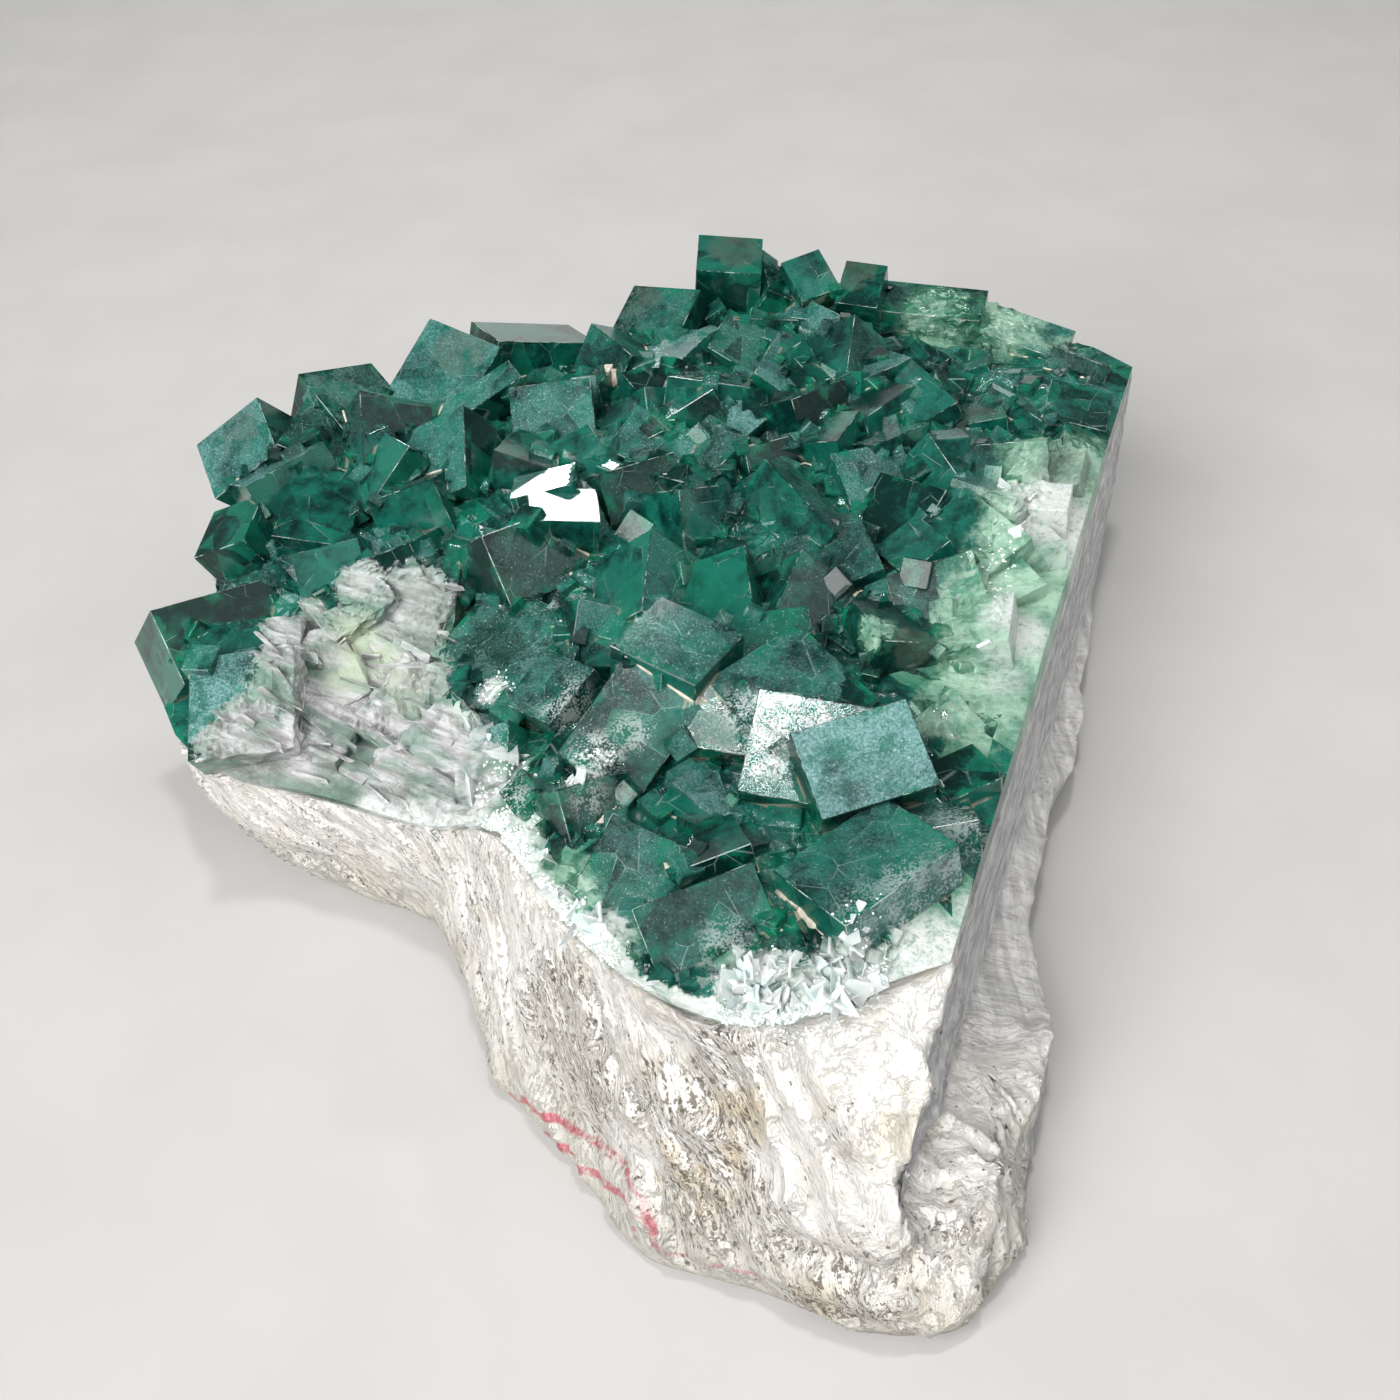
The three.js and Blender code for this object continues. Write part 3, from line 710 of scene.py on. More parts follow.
def cleavage(tree, where):
    """Inner crystal domains with straight borders: a shade for each, and thin veils along their borders."""
    inputs = {"Vector": where, "Scale": 1 / (10 * MM)}
    cells = add(tree, "TexVoronoi", inputs)
    shade = add(tree, "SeparateColor", {"Color": cells.outputs["Color"]}).outputs["Red"]
    borders = add(tree, "TexVoronoi", inputs, feature="DISTANCE_TO_EDGE")
    thin = ramp(borders.outputs["Distance"], 0.0, 0.016, 1.0, 0.0)
    return shade, times(thin, ramp(noise(where, 7, detail=3), 0.48, 0.62))


def ragged_zone(tree, name, worn, low=0.38, high=0.62):
    """A zone stored on the mesh, with a ragged border."""
    zone = attribute(tree, name)
    return times(ramp(total(zone, (minus(worn, 0.5), 2.4)), low, high), ramp(zone, 0.0, 0.3))


def fibre_colour(where):
    """Streaks of white and warm grey along the cleaved west slope."""
    turned = stretched(where, turn=(0, 0, math.atan2(-STREAK_WAY.y, STREAK_WAY.x)))
    drawn = stretched(turned, (0.13, 1.0, 1.0))
    streaks = noise(drawn, 2.2, detail=8, roughness=0.7)
    patches = noise(drawn, 9, detail=5, roughness=0.6)
    tint = mix(ramp(streaks, 0.34, 0.66), SHADES["fibre_grey"], SHADES["fibre"])
    return mix(ramp(patches, 0.50, 0.62, 0.0, 0.8), tint, SHADES["fibre_green"])


def clear_finish(shader, tint, settings, roughness, clearness):
    """What every clear material ends with: its colour, gloss, refraction and transmission."""
    fill_in(shader, {
        "Base Color": tint, "Roughness": roughness, "IOR": settings.refraction,
        "Transmission Weight": clearness})


def edge_material(settings):
    """The worn edges of the crystals: here and there chipped pale, elsewhere as clear as the faces."""
    material, tree, shader, output, where = new_material("worn_edges")
    chips = noise(where, 7, detail=8, roughness=0.75)
    clear_finish(shader, mix(ramp(chips, 0.48, 0.60), settings.deep, SHADES["chip"]), settings, 0.2, 0.5)
    absorb(tree, output, settings)
    return material


def sugar_material(settings):
    """Massive and cleaved fluorite between crystals and rock: pale green, fibrous grey and white."""
    material, tree, shader, output, where = new_material("sugary_fluorite")
    pale, fibrous, olive, smoky, white = (
        attribute(tree, name) for name in ("pale", "fibrous", "olive", "smoky", "white"))
    grains = noise(where, 1.6, detail=7, roughness=0.75)
    veins = noise(where, 11, detail=8, roughness=0.62)
    mottled = total(veins, (grains, 0.45), (pale, 0.17))
    tint = coated(
        mix(ramp(mottled, 0.66, 1.06), SHADES["under_sugar"], settings.pale),
        (times(fibrous, ramp(veins, 0.3, 0.45, 0.5, 1.0)), fibre_colour(where)),
        (times(olive, ramp(veins, 0.4, 0.55, 0.3, 1.0)), settings.olive),
        (times(smoky, ramp(grains, 0.35, 0.65, 0.95, 0.25)), settings.smoke),
        (times(white, ramp(grains, 0.32, 0.55, 0.2, 1.0)), SHADES["sugar"]),
    )
    clear_finish(shader, tint, settings, 0.3, 0.35)
    fill_in(shader, {"Normal": bump(grains, 0.8, 0.8)})
    absorb(tree, output, settings)
    return material


def glass_material(settings):
    """Loose cleavage flakes: clear, with pale green and white flaws."""
    material, _, shader, _, where = new_material("cleavage_glass")
    flaws = noise(where, 3, detail=8, roughness=0.7)
    clear_finish(shader, mix(ramp(flaws, 0.42, 0.58), SHADES["flaw"], SHADES["glass"]), settings, 0.12, 0.5)
    return material


def blade_material(settings):
    """Cleavage blades of the west slope: streaked, with clear and white parts."""
    material, _, shader, _, where = new_material("cleavage_blades")
    flaws = noise(where, 4, detail=7, roughness=0.7)
    tint = mix(ramp(flaws, 0.50, 0.65, 0.0, 0.6), fibre_colour(where), SHADES["blade"])
    clear_finish(shader, tint, settings, 0.15, 0.55)
    return material


def grain_material(name, light, dark, size_mm):
    """Loose grains of one kind, mottled between two shades."""
    material, _, shader, _, where = new_material(name)
    mottle = noise(where, size_mm, detail=5, roughness=0.65)
    fill_in(shader, {
        "Base Color": mix(ramp(mottle, 0.35, 0.65), dark, light), "Roughness": 0.55,
        "Normal": bump(mottle, 0.4, 0.7)})
    return material


def crystal_materials(settings):
    """The crust's materials in their order: flat faces, dark bed, sugary bed, worn edges."""
    return (
        crystal_material(settings, "green_crystal", 1.0, settings.clearness, 0.15),
        crystal_material(settings, "dark_bed", 0.3, 0.5, 0.8),
        sugar_material(settings),
        edge_material(settings),
    )


class FLUORITE_OT_stage(bpy.types.Operator):
    """Adds the floor, the soft studio light and the camera at the photograph's viewing angle"""

    bl_idname = "fluorite.stage"
    bl_label = "Stage"

    def execute(self, context):
        settings = context.scene.fluorite_stage
        self.floor(settings)
        for name, place, target, size, watts, spread in LIGHTS:
            self.light(name, place, target, size, getattr(settings, watts), spread)
        self.room(settings)
        self.camera()
        view = context.scene.view_settings
        view.view_transform = "Standard"
        view.look = "None"
        return {"FINISHED"}

    def floor(self, settings):
        """A wide plain floor, faintly mottled."""
        deselect()
        bpy.ops.mesh.primitive_plane_add(size=FLOOR_SIZE, location=(0, 0, 0))
        floor = bpy.context.object
        floor.name = "floor"
        material, _, shader, _, where = new_material("plain_floor")
        darker = [0.94 * part for part in settings.floor_colour]
        tint = mix(ramp(noise(where, 60, detail=5), 0.3, 0.7), settings.floor_colour, darker)
        fill_in(shader, {"Base Color": tint, "Roughness": 0.6})
        floor.data.materials.append(material)

    def light(self, name, place, target, size, watts, spread):
        """A square lamp that is aimed at a target."""
        bpy.ops.object.light_add(type="AREA", location=place)
        light = bpy.context.object
        light.name = name
        light.data.size = size
        light.data.energy = watts
        light.data.color = LIGHT_COLOUR
        light.data.spread = math.radians(spread)
        light.rotation_euler = (Vector(target) - Vector(place)).to_track_quat("-Z", "Y").to_euler()

    def room(self, settings):
        """The even light of a pale room."""
        world = bpy.data.worlds.new("pale_room")
        bpy.context.scene.world = world
        world.use_nodes = True
        background = world.node_tree.nodes["Background"]
        fill_in(background, {"Color": rgba(ROOM_COLOUR), "Strength": settings.room})

    def camera(self):
        """The camera where the photograph was taken from."""
        bpy.ops.object.camera_add()
        camera = bpy.context.object
        camera.name = "camera"
        camera.data.lens = CAMERA_LENS
        camera.data.clip_start = 0.01
        pitch = Matrix.Rotation(math.radians(90 - CAMERA_PITCH), 4, "X")
        roll = Matrix.Rotation(math.radians(CAMERA_ROLL), 4, "Z")
        camera.matrix_world = Matrix.Translation(Vector(CAMERA_PLACE) * MM) @ pitch @ roll
        bpy.context.scene.camera = camera


def from_saw(places):
    """How far inside the plane of the sawn side each place is, in mm."""
    return (np.array(SAW_POINT) - places / MM) @ np.array(SAW_NORMAL)


def rock_marks(places, normals):
    """Where the rock is sawn, bright, flecked, stained or streaked, or painted with shade, from 0 to 1 at
    each vertex.
    """
    outside = smoothstep(1.0, 0.3, from_saw(places))
    ledge = outside * smoothstep(-112, -88, places[:, 1] / MM)
    sawn = np.maximum(smoothstep(0.985, 0.997, normals @ np.array(SAW_NORMAL)) * outside, 0.8 * ledge)
    stained = np.maximum(0.2, strongest(places, STAIN_AND_SHADE_SPOTS))
    flecked = strongest(places, FLECK_AND_SHADE_SPOTS)
    top = smoothstep(47, 53, places[:, 2] / MM)
    panel = np.minimum(np.maximum(0.9 * near(places, PANEL_PLACE, PANEL_REACH), top), 1 - flecked)
    lines = np.maximum.reduce([near_line(places, line, 2.2) for line in RED_LINES])
    streak = np.maximum.reduce([lines, 0.6 * near_line(places, RED_TAIL, 1.8), near(places, RED_SPOT, 2.4)])
    return {"sawn": sawn, "stained": stained, "panel": panel, "flecked": flecked, "streak": streak}


class FLUORITE_OT_rock(bpy.types.Operator):
    """Carves the foliated relief into the matrix rock and gives it its finish"""

    bl_idname = "fluorite.rock"
    bl_label = "Matrix rock"

    def execute(self, context):
        settings = context.scene.fluorite_rock
        rock = node_copy(ROCK_NODE, "foliated_rock")
        edit_all(rock, bpy.ops.mesh.tris_convert_to_quads, face_threshold=math.radians(QUAD_FACE_ANGLE),
                 shape_threshold=math.radians(QUAD_SHAPE_ANGLE))
        self.keep_edges(rock)
        apply_modifier(rock, "SUBSURF", levels=settings.levels, render_levels=settings.levels)
        store_all(rock.data, rock_marks(vertex_places(rock.data), vertex_normals(rock.data)))
        self.shape_front(rock)
        self.relief(rock, settings)
        activate(rock)
        bpy.ops.object.shade_smooth()
        rock.data.materials.append(rock_material(settings))
        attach(rock, BODY)
        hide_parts(ROCK_NODE)
        return {"FINISHED"}

    def keep_edges(self, rock):
        """The sawn side, the underside and the rim keep their edges when the rock is subdivided."""
        mesh = rock.data
        normals, centres = face_normals(mesh), face_centres(mesh)
        kinds = np.zeros(len(normals), int)
        kinds[normals @ np.array(SAW_NORMAL) > 0.999] = 1
        kinds[normals[:, 2] < -0.999] = 2
        kinds[(centres[:, 2] > 0.03) & (normals[:, 2] > 0.55)] = 3
        faces_at = {}
        for face in mesh.polygons:
            for key in face.edge_keys:
                faces_at.setdefault(key, []).append(kinds[face.index])
        values = [float(len(set(faces_at[tuple(sorted(edge.vertices))])) > 1) for edge in mesh.edges]
        store(mesh, "crease_edge", values, "EDGE")

    def shape_front(self, rock):
        """Presses in the hollows, raises the ridges of the front, and crumples the low foot and the toe."""
        mesh = rock.data
        places, normals = vertex_places(mesh), vertex_normals(mesh)
        for line, radius, height in ROCK_FORMS:
            places += normals * (near_line(places, line, radius) * height * MM)[:, None]
        foot = smoothstep(-6.0, -9.5, from_saw(places)) * smoothstep(-84, -104, places[:, 1] / MM)
        toe = near(places, TOE_PLACE, TOE_REACH)
        foot = np.maximum(foot, toe) * smoothstep(1.0, 6.0, places[:, 2] / MM)
        for index in np.flatnonzero(foot > 0.02):
            spot = Vector(places[index])
            crumpled = LUMP_DEPTH * field.noise(spot * LUMP_FINENESS)
            for depth, middle, fineness in CREASES:
                crumpled += depth * (middle - abs(field.noise(spot * fineness)))
            places[index] += normals[index] * foot[index] * crumpled * MM
        mesh.vertices.foreach_set("co", places.ravel())
        mesh.update()

    def relief(self, rock, settings):
        """Displaces the broken sides along the layers, and leaves the sawn side, base and seat flat."""
        mesh = rock.data
        places, normals = vertex_places(mesh), vertex_normals(mesh)
        free = 1 - smoothstep(0.9, 0.99, normals @ np.array(SAW_NORMAL))
        free *= 1 - smoothstep(0.9, 0.99, -normals[:, 2])
        free *= smoothstep(0.0, 4 * MM, places[:, 2])
        free *= 1 - smoothstep(0.75, 0.95, normals[:, 2]) * (places[:, 2] > 0.03)
        ledge = smoothstep(1.0, -2.0, from_saw(places)) * smoothstep(-125, -95, places[:, 1] / MM)
        free *= 1 - 0.75 * ledge
        group = rock.vertex_groups.new(name="broken")
        for index, weight in enumerate(free):
            group.add([index], float(weight), "REPLACE")
        deselect()
        bpy.ops.object.empty_add(type="PLAIN_AXES")
        layers = bpy.context.object
        layers.rotation_euler = UP.rotation_difference(LAYER_NORMAL).to_euler()
        layers.scale = LAYER_SCALE
        bpy.context.view_layer.update()
        folds = bpy.data.textures.new("folds", "CLOUDS")
        folds.noise_scale = FOLD_SIZE
        folds.noise_depth = 4
        shared = {
            "strength": settings.relief * RELIEF_SHARE, "mid_level": RELIEF_MIDDLE, "vertex_group": "broken"}
        apply_modifier(rock, "DISPLACE", texture=folds, texture_coords="LOCAL", **shared)
        splinters = bpy.data.textures.new("splinters", "MUSGRAVE")
        splinters.musgrave_type = "RIDGED_MULTIFRACTAL"
        splinters.noise_scale = 1.0
        splinters.octaves = 5.0
        apply_modifier(rock, "DISPLACE", texture=splinters, texture_coords="OBJECT",
                       texture_coords_object=layers, **shared)
        bpy.data.objects.remove(layers)


def face_edges(mesh):
    """For each edge: the faces on its two sides, each with the direction that leads into the face."""
    found = {}
    places = [vertex.co for vertex in mesh.vertices]
    for face in mesh.polygons:
        corners = list(face.vertices)
        for start, end in zip(corners, corners[1:] + corners[:1]):
            along = places[end] - places[start]
            inward = face.normal.cross(along).normalized()
            found.setdefault((min(start, end), max(start, end)), []).append((face.index, inward))
    return found


def crease_kinds(mesh, sides, least_degrees=CREASE_ANGLE):
    """Splits the edges between flat faces into those that stand out and those that are valleys."""
    ridges, valleys = [], []
    for key, pair in sides.items():
        if len(pair) != 2:
            continue
        (first, _), (second, inward) = pair
        normal = mesh.polygons[first].normal
        if math.degrees(normal.angle(mesh.polygons[second].normal)) > least_degrees:
            (ridges if inward.dot(normal) < 0 else valleys).append(key)
    return ridges, valleys


def samples_along(mesh, keys, step=0.4 * MM):
    """Points along these edges, close together."""
    points = []
    for start, end in keys:
        first, last = mesh.vertices[start].co, mesh.vertices[end].co
        count = max(1, int((last - first).length / step))
        points.extend(first.lerp(last, index / count) for index in range(count + 1))
    return points


def distance_to(points, places, most):
    """The distance of each place to the nearest of the points, up to a most."""
    tree = KDTree(len(points))
    for index, point in enumerate(points):
        tree.insert(point, index)
    tree.balance()
    return np.array([min(most, tree.find(place)[2]) for place in places])


def edge_ends(mesh):
    """The two vertices of each edge as an array."""
    return read(mesh.edges, "vertices", 2, int)


def refine(piece, longest, lowest_normal=-0.2, passes=6):
    """Splits the long edges of the faces that look up, until none is longer than this."""
    mesh = piece.data
    bpy.context.tool_settings.mesh_select_mode = (False, True, False)
    for _ in range(passes):
        activate(piece)
        bpy.ops.object.mode_set(mode="EDIT")
        bpy.ops.mesh.select_all(action="SELECT")
        bpy.ops.mesh.quads_convert_to_tris(quad_method="SHORTEST_DIAGONAL", ngon_method="BEAUTY")
        bpy.ops.mesh.select_all(action="DESELECT")
        bpy.ops.object.mode_set(mode="OBJECT")
        ends, places = edge_ends(mesh), vertex_places(mesh)
        lengths = np.linalg.norm(places[ends[:, 0]] - places[ends[:, 1]], axis=1)
        open_edges = np.zeros(len(ends), bool)
        upward = face_normals(mesh)[:, 2] > lowest_normal
        upward = np.repeat(upward, read(mesh.polygons, "loop_total", kind=int))
        open_edges[read(mesh.loops, "edge_index", kind=int)[upward]] = True
        chosen = open_edges & (lengths > longest)
        if not chosen.any():
            break
        mesh.edges.foreach_set("select", chosen)
        bpy.ops.object.mode_set(mode="EDIT")
        bpy.ops.mesh.subdivide(number_cuts=1)
        bpy.ops.object.mode_set(mode="OBJECT")
    bpy.context.tool_settings.mesh_select_mode = (True, False, False)


def strongest(places, spots):
    """The strongest of several spots, each a centre in mm, a radius in mm and a strength."""
    return np.maximum.reduce([share * near(places, centre, radius) for centre, radius, share in spots])


def zone_marks(places):
    """The zones of the crust and the frost on it, partly a painted highlight, from 0 to 1 at each place in
    metres.
    """
    strip = 1 - smoothstep(4, 22, from_saw(places))
    strip *= smoothstep(-62, -35, places[:, 1] / MM) * (1 - smoothstep(48, 74, places[:, 1] / MM))
    marks = {name: strongest(places, spots) for name, spots in ZONES.items()}
    marks["pale"] = np.maximum(strip, marks["pale"])
    return marks


def facet_marks(mesh):
    """A tone and an etched film for each flat face, the film mostly on faces that look up: partly a painted
    sheen for the room they mirror.
    """
    random = np.random.default_rng(FACE_SEED)
    count = len(mesh.polygons)
    store(mesh, "tone", random.random(count), "FACE")
    reach = 0.75 + 0.25 * (1 - smoothstep(-60, 20, face_centres(mesh)[:, 1] / MM))
    filmed_and_sheened = random.random(count) < FILM_AND_SHEEN_SHARE
    thick = np.where(filmed_and_sheened, random.uniform(*THICK_FILM_AND_SHEEN, count), random.uniform(*THIN_FILM_AND_SHEEN, count))
    # Painted sheen: faces that look up get more film, as if they mirrored the pale room
    film = smoothstep(0.15, 0.9, face_normals(mesh)[:, 2]) * thick * reach
    store(mesh, "film", np.clip(film, 0, 1), "FACE")


def film_and_sheen_faces(mesh):
    """Sets the film, partly painted sheen, and the tone of the chosen flat faces."""
    centres, normals = face_centres(mesh) / MM, face_normals(mesh)
    film, tone = stored(mesh, "film"), stored(mesh, "tone")
    for place, way, reach, value, shade in FILM_AND_SHEEN_FACES:
        away = centres - np.array(place)
        chosen = np.abs(away @ np.array(way)) < FILM_AND_SHEEN_OFF
        chosen &= (np.linalg.norm(away, axis=1) < reach) & (normals @ np.array(way) > FILM_AND_SHEEN_AGREES)
        film[chosen] = value
        tone[chosen] = shade
    store(mesh, "film", film, "FACE")
    store(mesh, "tone", tone, "FACE")


class FLUORITE_OT_crust(bpy.types.Operator):
    """Gives the crust of crystals its worn edges, its broken bed and its zones of colour"""

    bl_idname = "fluorite.crust"
    bl_label = "Crystal crust"

    def execute(self, context):
        settings = context.scene.fluorite_crystal
        crust = bare_crust("crystal_crust")
        mesh = crust.data
        for material in crystal_materials(settings):
            mesh.materials.append(material)
        sides = face_edges(mesh)
        ridges, valleys = crease_kinds(mesh, sides)
        ridge_points = samples_along(mesh, ridges)
        valley_points = samples_along(mesh, valleys)
        self.find_bed(mesh, sides)
        facet_marks(mesh)
        self.wear_edges(crust, ridges, settings)
        refine(crust, FINE_EDGE * MM)
        film_and_sheen_faces(mesh)
        self.sugar_zones(mesh)
        self.break_bed(crust)
        places = vertex_places(mesh)
        store(mesh, "rim", distance_to(ridge_points, places, RIM_REACH * MM) / MM)
        store(mesh, "crevice", distance_to(valley_points, places, RIM_REACH * MM) / MM)
        marks = zone_marks(places)
        ground = BVHTree.FromObject(crust, bpy.context.evaluated_depsgraph_get())
        front = [place for place, _ in rim_places(ground)
                 if place.y < -38 * MM and place.z < 59 * MM and from_saw(np.array([place]))[0] > 3]
        border = distance_to(front, places, BORDER_REACH * MM) / MM
        marks["white"] = np.maximum(marks["white"], 0.85 * (1 - smoothstep(0.5, 5.0, border)))
        store_all(mesh, marks)
        activate(crust)
        bpy.ops.object.shade_flat()
        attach(crust, BODY)
        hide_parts(CRUST_NODE)
        return {"FINISHED"}

    def find_bed(self, mesh, sides):
        """The massive fluorite under the crystals meets itself softly; crystal faces don't."""
        soft, around = np.zeros(len(mesh.polygons)), np.zeros(len(mesh.polygons))
        for (start, end), pair in sides.items():
            length = (mesh.vertices[start].co - mesh.vertices[end].co).length
            faces = [mesh.polygons[index] for index, _ in pair]
            around[[face.index for face in faces]] += length
            if len(faces) == 2 and faces[0].normal.angle(faces[1].normal) < math.radians(SOFT_ANGLE):
                soft[[face.index for face in faces]] += length
        bed = soft > 0.4 * around
        sugary = np.maximum.reduce(list(zone_marks(face_centres(mesh)).values())) > 0.3
        kinds = np.where(bed & sugary, SUGAR, np.where(bed, DARK_BED, FACET))
        mesh.polygons.foreach_set("material_index", kinds.astype(int))

    def wear_edges(self, crust, ridges, settings):
        """A narrow bevel on the edges between crystal faces."""
        mesh = crust.data
        sides = face_edges(mesh)
        worn = {key for key in ridges
                if (mesh.vertices[key[0]].co - mesh.vertices[key[1]].co).length > 1.2 * MM
                and all(mesh.polygons[index].material_index == FACET for index, _ in sides[key])}
        weights = [float(tuple(sorted(edge.vertices)) in worn) for edge in mesh.edges]
        store(mesh, "bevel_weight_edge", weights, "EDGE")
        apply_modifier(crust, "BEVEL", limit_method="WEIGHT", width=settings.edge, segments=1,
                       use_clamp_overlap=False, material=EDGE, offset_type="WIDTH")

    def sugar_zones(self, mesh):
        """Faces in the pale, white and fibrous zones turn sugary, with a ragged border."""
        random = np.random.default_rng(SUGAR_SEED)
        zones = zone_marks(face_centres(mesh))
        strength = np.maximum.reduce([0.8 * zones["pale"], zones["white"], 1.2 * zones["fibrous"]])
        kinds = read(mesh.polygons, "material_index", kind=int)
        kinds[strength > random.uniform(0.45, 0.75, len(kinds))] = SUGAR
        mesh.polygons.foreach_set("material_index", kinds)

    def break_bed(self, crust):
        """The bed and the sugary zones are broken, along the streaks where they are fibrous."""
        mesh = crust.data
        inner = np.zeros(len(mesh.vertices), bool)
        for face in mesh.polygons:
            if face.material_index in (SUGAR, DARK_BED) and face.normal.z > -0.3:
                inner[list(face.vertices)] = True
        places, normals = vertex_places(mesh), vertex_normals(mesh)
        zones = zone_marks(places)
        fibrous = zones["fibrous"]
        rougher = 1 + 0.6 * np.maximum(fibrous, zones["white"])
        across = STREAK_WAY.cross(UP).normalized()
        inner &= from_saw(places) > 0.6
        inner &= places[:, 2] > 42 * MM
        for index in np.flatnonzero(inner):
            place = Vector(places[index])
            drawn = 1 - 0.8 * fibrous[index]
            spot = Vector((place.dot(STREAK_WAY) * drawn, place.dot(across), place.z))
            lift = sum(height * field.noise(spot * fineness) for height, fineness in BED_WAVES)
            places[index] += normals[index] * lift * rougher[index] * MM
        mesh.vertices.foreach_set("co", places.ravel())
        mesh.update()


def template(piece):
    """A finished small shape as arrays, so that it can be repeated; its object is removed."""
    mesh = piece.data
    shape = {
        "places": vertex_places(mesh),
        "faces": [tuple(face.vertices) for face in mesh.polygons],
        "materials": [face.material_index for face in mesh.polygons],
        "rim": stored(mesh, "rim") if "rim" in mesh.attributes else np.zeros(len(mesh.vertices)),
    }
    bpy.data.objects.remove(piece)
    bpy.data.meshes.remove(mesh)
    return shape


def scatter(name, shapes, placements, materials):
    """One mesh of many placed copies: (shape index, matrix, size in metres, tone, film with its painted
    sheen) each.
    """
    places, faces, kinds, rims, tones, film_and_sheen_values = [], [], [], [], [], []
    base = 0
    for index, matrix, size, tone, film in placements:
        shape = shapes[index]
        turned = shape["places"] @ np.array(matrix.to_3x3()).T + np.array(matrix.translation)
        places.append(turned)
        faces.extend(tuple(corner + base for corner in face) for face in shape["faces"])
        kinds.extend(shape["materials"])
        rims.append(shape["rim"] * size / MM)
        tones.extend([tone] * len(shape["faces"]))
        film_and_sheen_values.extend([film] * len(shape["faces"]))
        base += len(turned)
    mesh = bpy.data.meshes.new(name)
    mesh.from_pydata(np.concatenate(places).tolist(), [], faces)
    for material in materials:
        mesh.materials.append(material)
    mesh.polygons.foreach_set("material_index", kinds)
    store(mesh, "rim", np.concatenate(rims))
    store(mesh, "tone", tones, "FACE")
    store(mesh, "film", film_and_sheen_values, "FACE")
    mesh.update()
    return placed(name, mesh)


def small_cube(step):
    """A small crystal: a cube with worn edges and, where asked, a stepped growth face."""
    deselect()
    bpy.ops.mesh.primitive_cube_add(size=1.0, location=(0, 0, 0))
    cube = bpy.context.object
    edit_all(cube, bpy.ops.mesh.bevel, offset=0.035, segments=1, material=EDGE)
    main = [face.index for face in cube.data.polygons if face.area > 0.5]
    bpy.context.tool_settings.mesh_select_mode = (False, False, True)
    bpy.ops.object.mode_set(mode="EDIT")
    bpy.ops.mesh.select_all(action="DESELECT")
    bpy.ops.object.mode_set(mode="OBJECT")
    for index in main:
        cube.data.polygons[index].select = True
    bpy.ops.object.mode_set(mode="EDIT")
    bpy.ops.mesh.inset(thickness=0.16, depth=step, use_individual=True)
    bpy.ops.object.mode_set(mode="OBJECT")
    bpy.context.tool_settings.mesh_select_mode = (True, False, False)
    rim = np.zeros(len(cube.data.vertices))
    for face in cube.data.polygons:
        if face.select:
            rim[list(face.vertices)] = 0.2
    store(cube.data, "rim", rim)
    return template(cube)


class FLUORITE_OT_small_cubes(bpy.types.Operator):
    """Grows small cubes out of the seams between the large crystals"""

    bl_idname = "fluorite.small_cubes"
    bl_label = "Small cubes"

    def execute(self, context):
        settings = context.scene.fluorite_crystal
        crust = bpy.data.objects["crystal_crust"]
        shapes = [small_cube(step) for step in CUBE_STEPS]
        placements = self.placements(settings, crust, len(shapes))
        cubes = scatter("small_cubes", shapes, placements, list(crust.data.materials))
        store_all(cubes.data, zone_marks(vertex_places(cubes.data)))
        store(cubes.data, "crevice", np.full(len(cubes.data.vertices), float(RIM_REACH)))
        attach(cubes, BODY)
        return {"FINISHED"}

    def placements(self, settings, crust, kinds):
        """Cubes of random sizes in the valleys that face up, none of them on another."""
        mesh = crust.data
        ground = BVHTree.FromObject(crust, bpy.context.evaluated_depsgraph_get())
        random = np.random.default_rng(settings.seed)
        places, normals = vertex_places(mesh), vertex_normals(mesh)
        fibrous = zone_marks(places)["fibrous"]
        candidates = np.flatnonzero((stored(mesh, "crevice") < 1.2) & (normals[:, 2] > 0.15))
        random.shuffle(candidates)
        taken, placements = [], []
        for index in candidates:
            if len(placements) >= settings.small_count:
                break
            place = Vector(places[index])
            size = random.uniform(*CUBE_SIZES) * MM
            if any((place - other).length < CUBE_SPACING * (size + width) for other, width in taken):
                continue
            if from_saw(places[index]) < 0.8 * size / MM or fibrous[index] > 0.35:
                continue
            if not self.seated(ground, place, size):
                continue
            up = Vector(normals[index]).lerp(UP, 0.4).normalized()
            turn = Euler(random.uniform(0, math.tau, 3)).to_matrix().to_4x4()
            sunk = place - up * size * random.uniform(*CUBE_SINK)
            shape = int(random.integers(kinds))
            width, depth = (size * random.uniform(*CUBE_STRETCH) for _ in range(2))
            matrix = Matrix.Translation(sunk) @ turn @ Matrix.Diagonal((size, width, depth, 1))
            placements.append((shape, matrix, size, random.random(), random.uniform(0.0, 0.5)))
            taken.append((place, size))
        return placements

    def seated(self, ground, place, size):
        """Whether a place is clear of the bright faces, with crust all around it and nothing over it."""
        if (place - Vector(FLASH_PLACE) * MM).length < FLASH_REACH * MM:
            return False
        for angle in LOOK_AROUND:
            side = Vector((math.cos(angle), math.sin(angle), 0))
            hit = ground.ray_cast(place + side * size + RISE, DOWN)[0]
            if hit is None or hit.z < place.z - 9 * MM:
                return False
        top = ground.ray_cast(place + RISE, DOWN)[0]
        return top is not None and (top - place).length <= 1.5 * MM


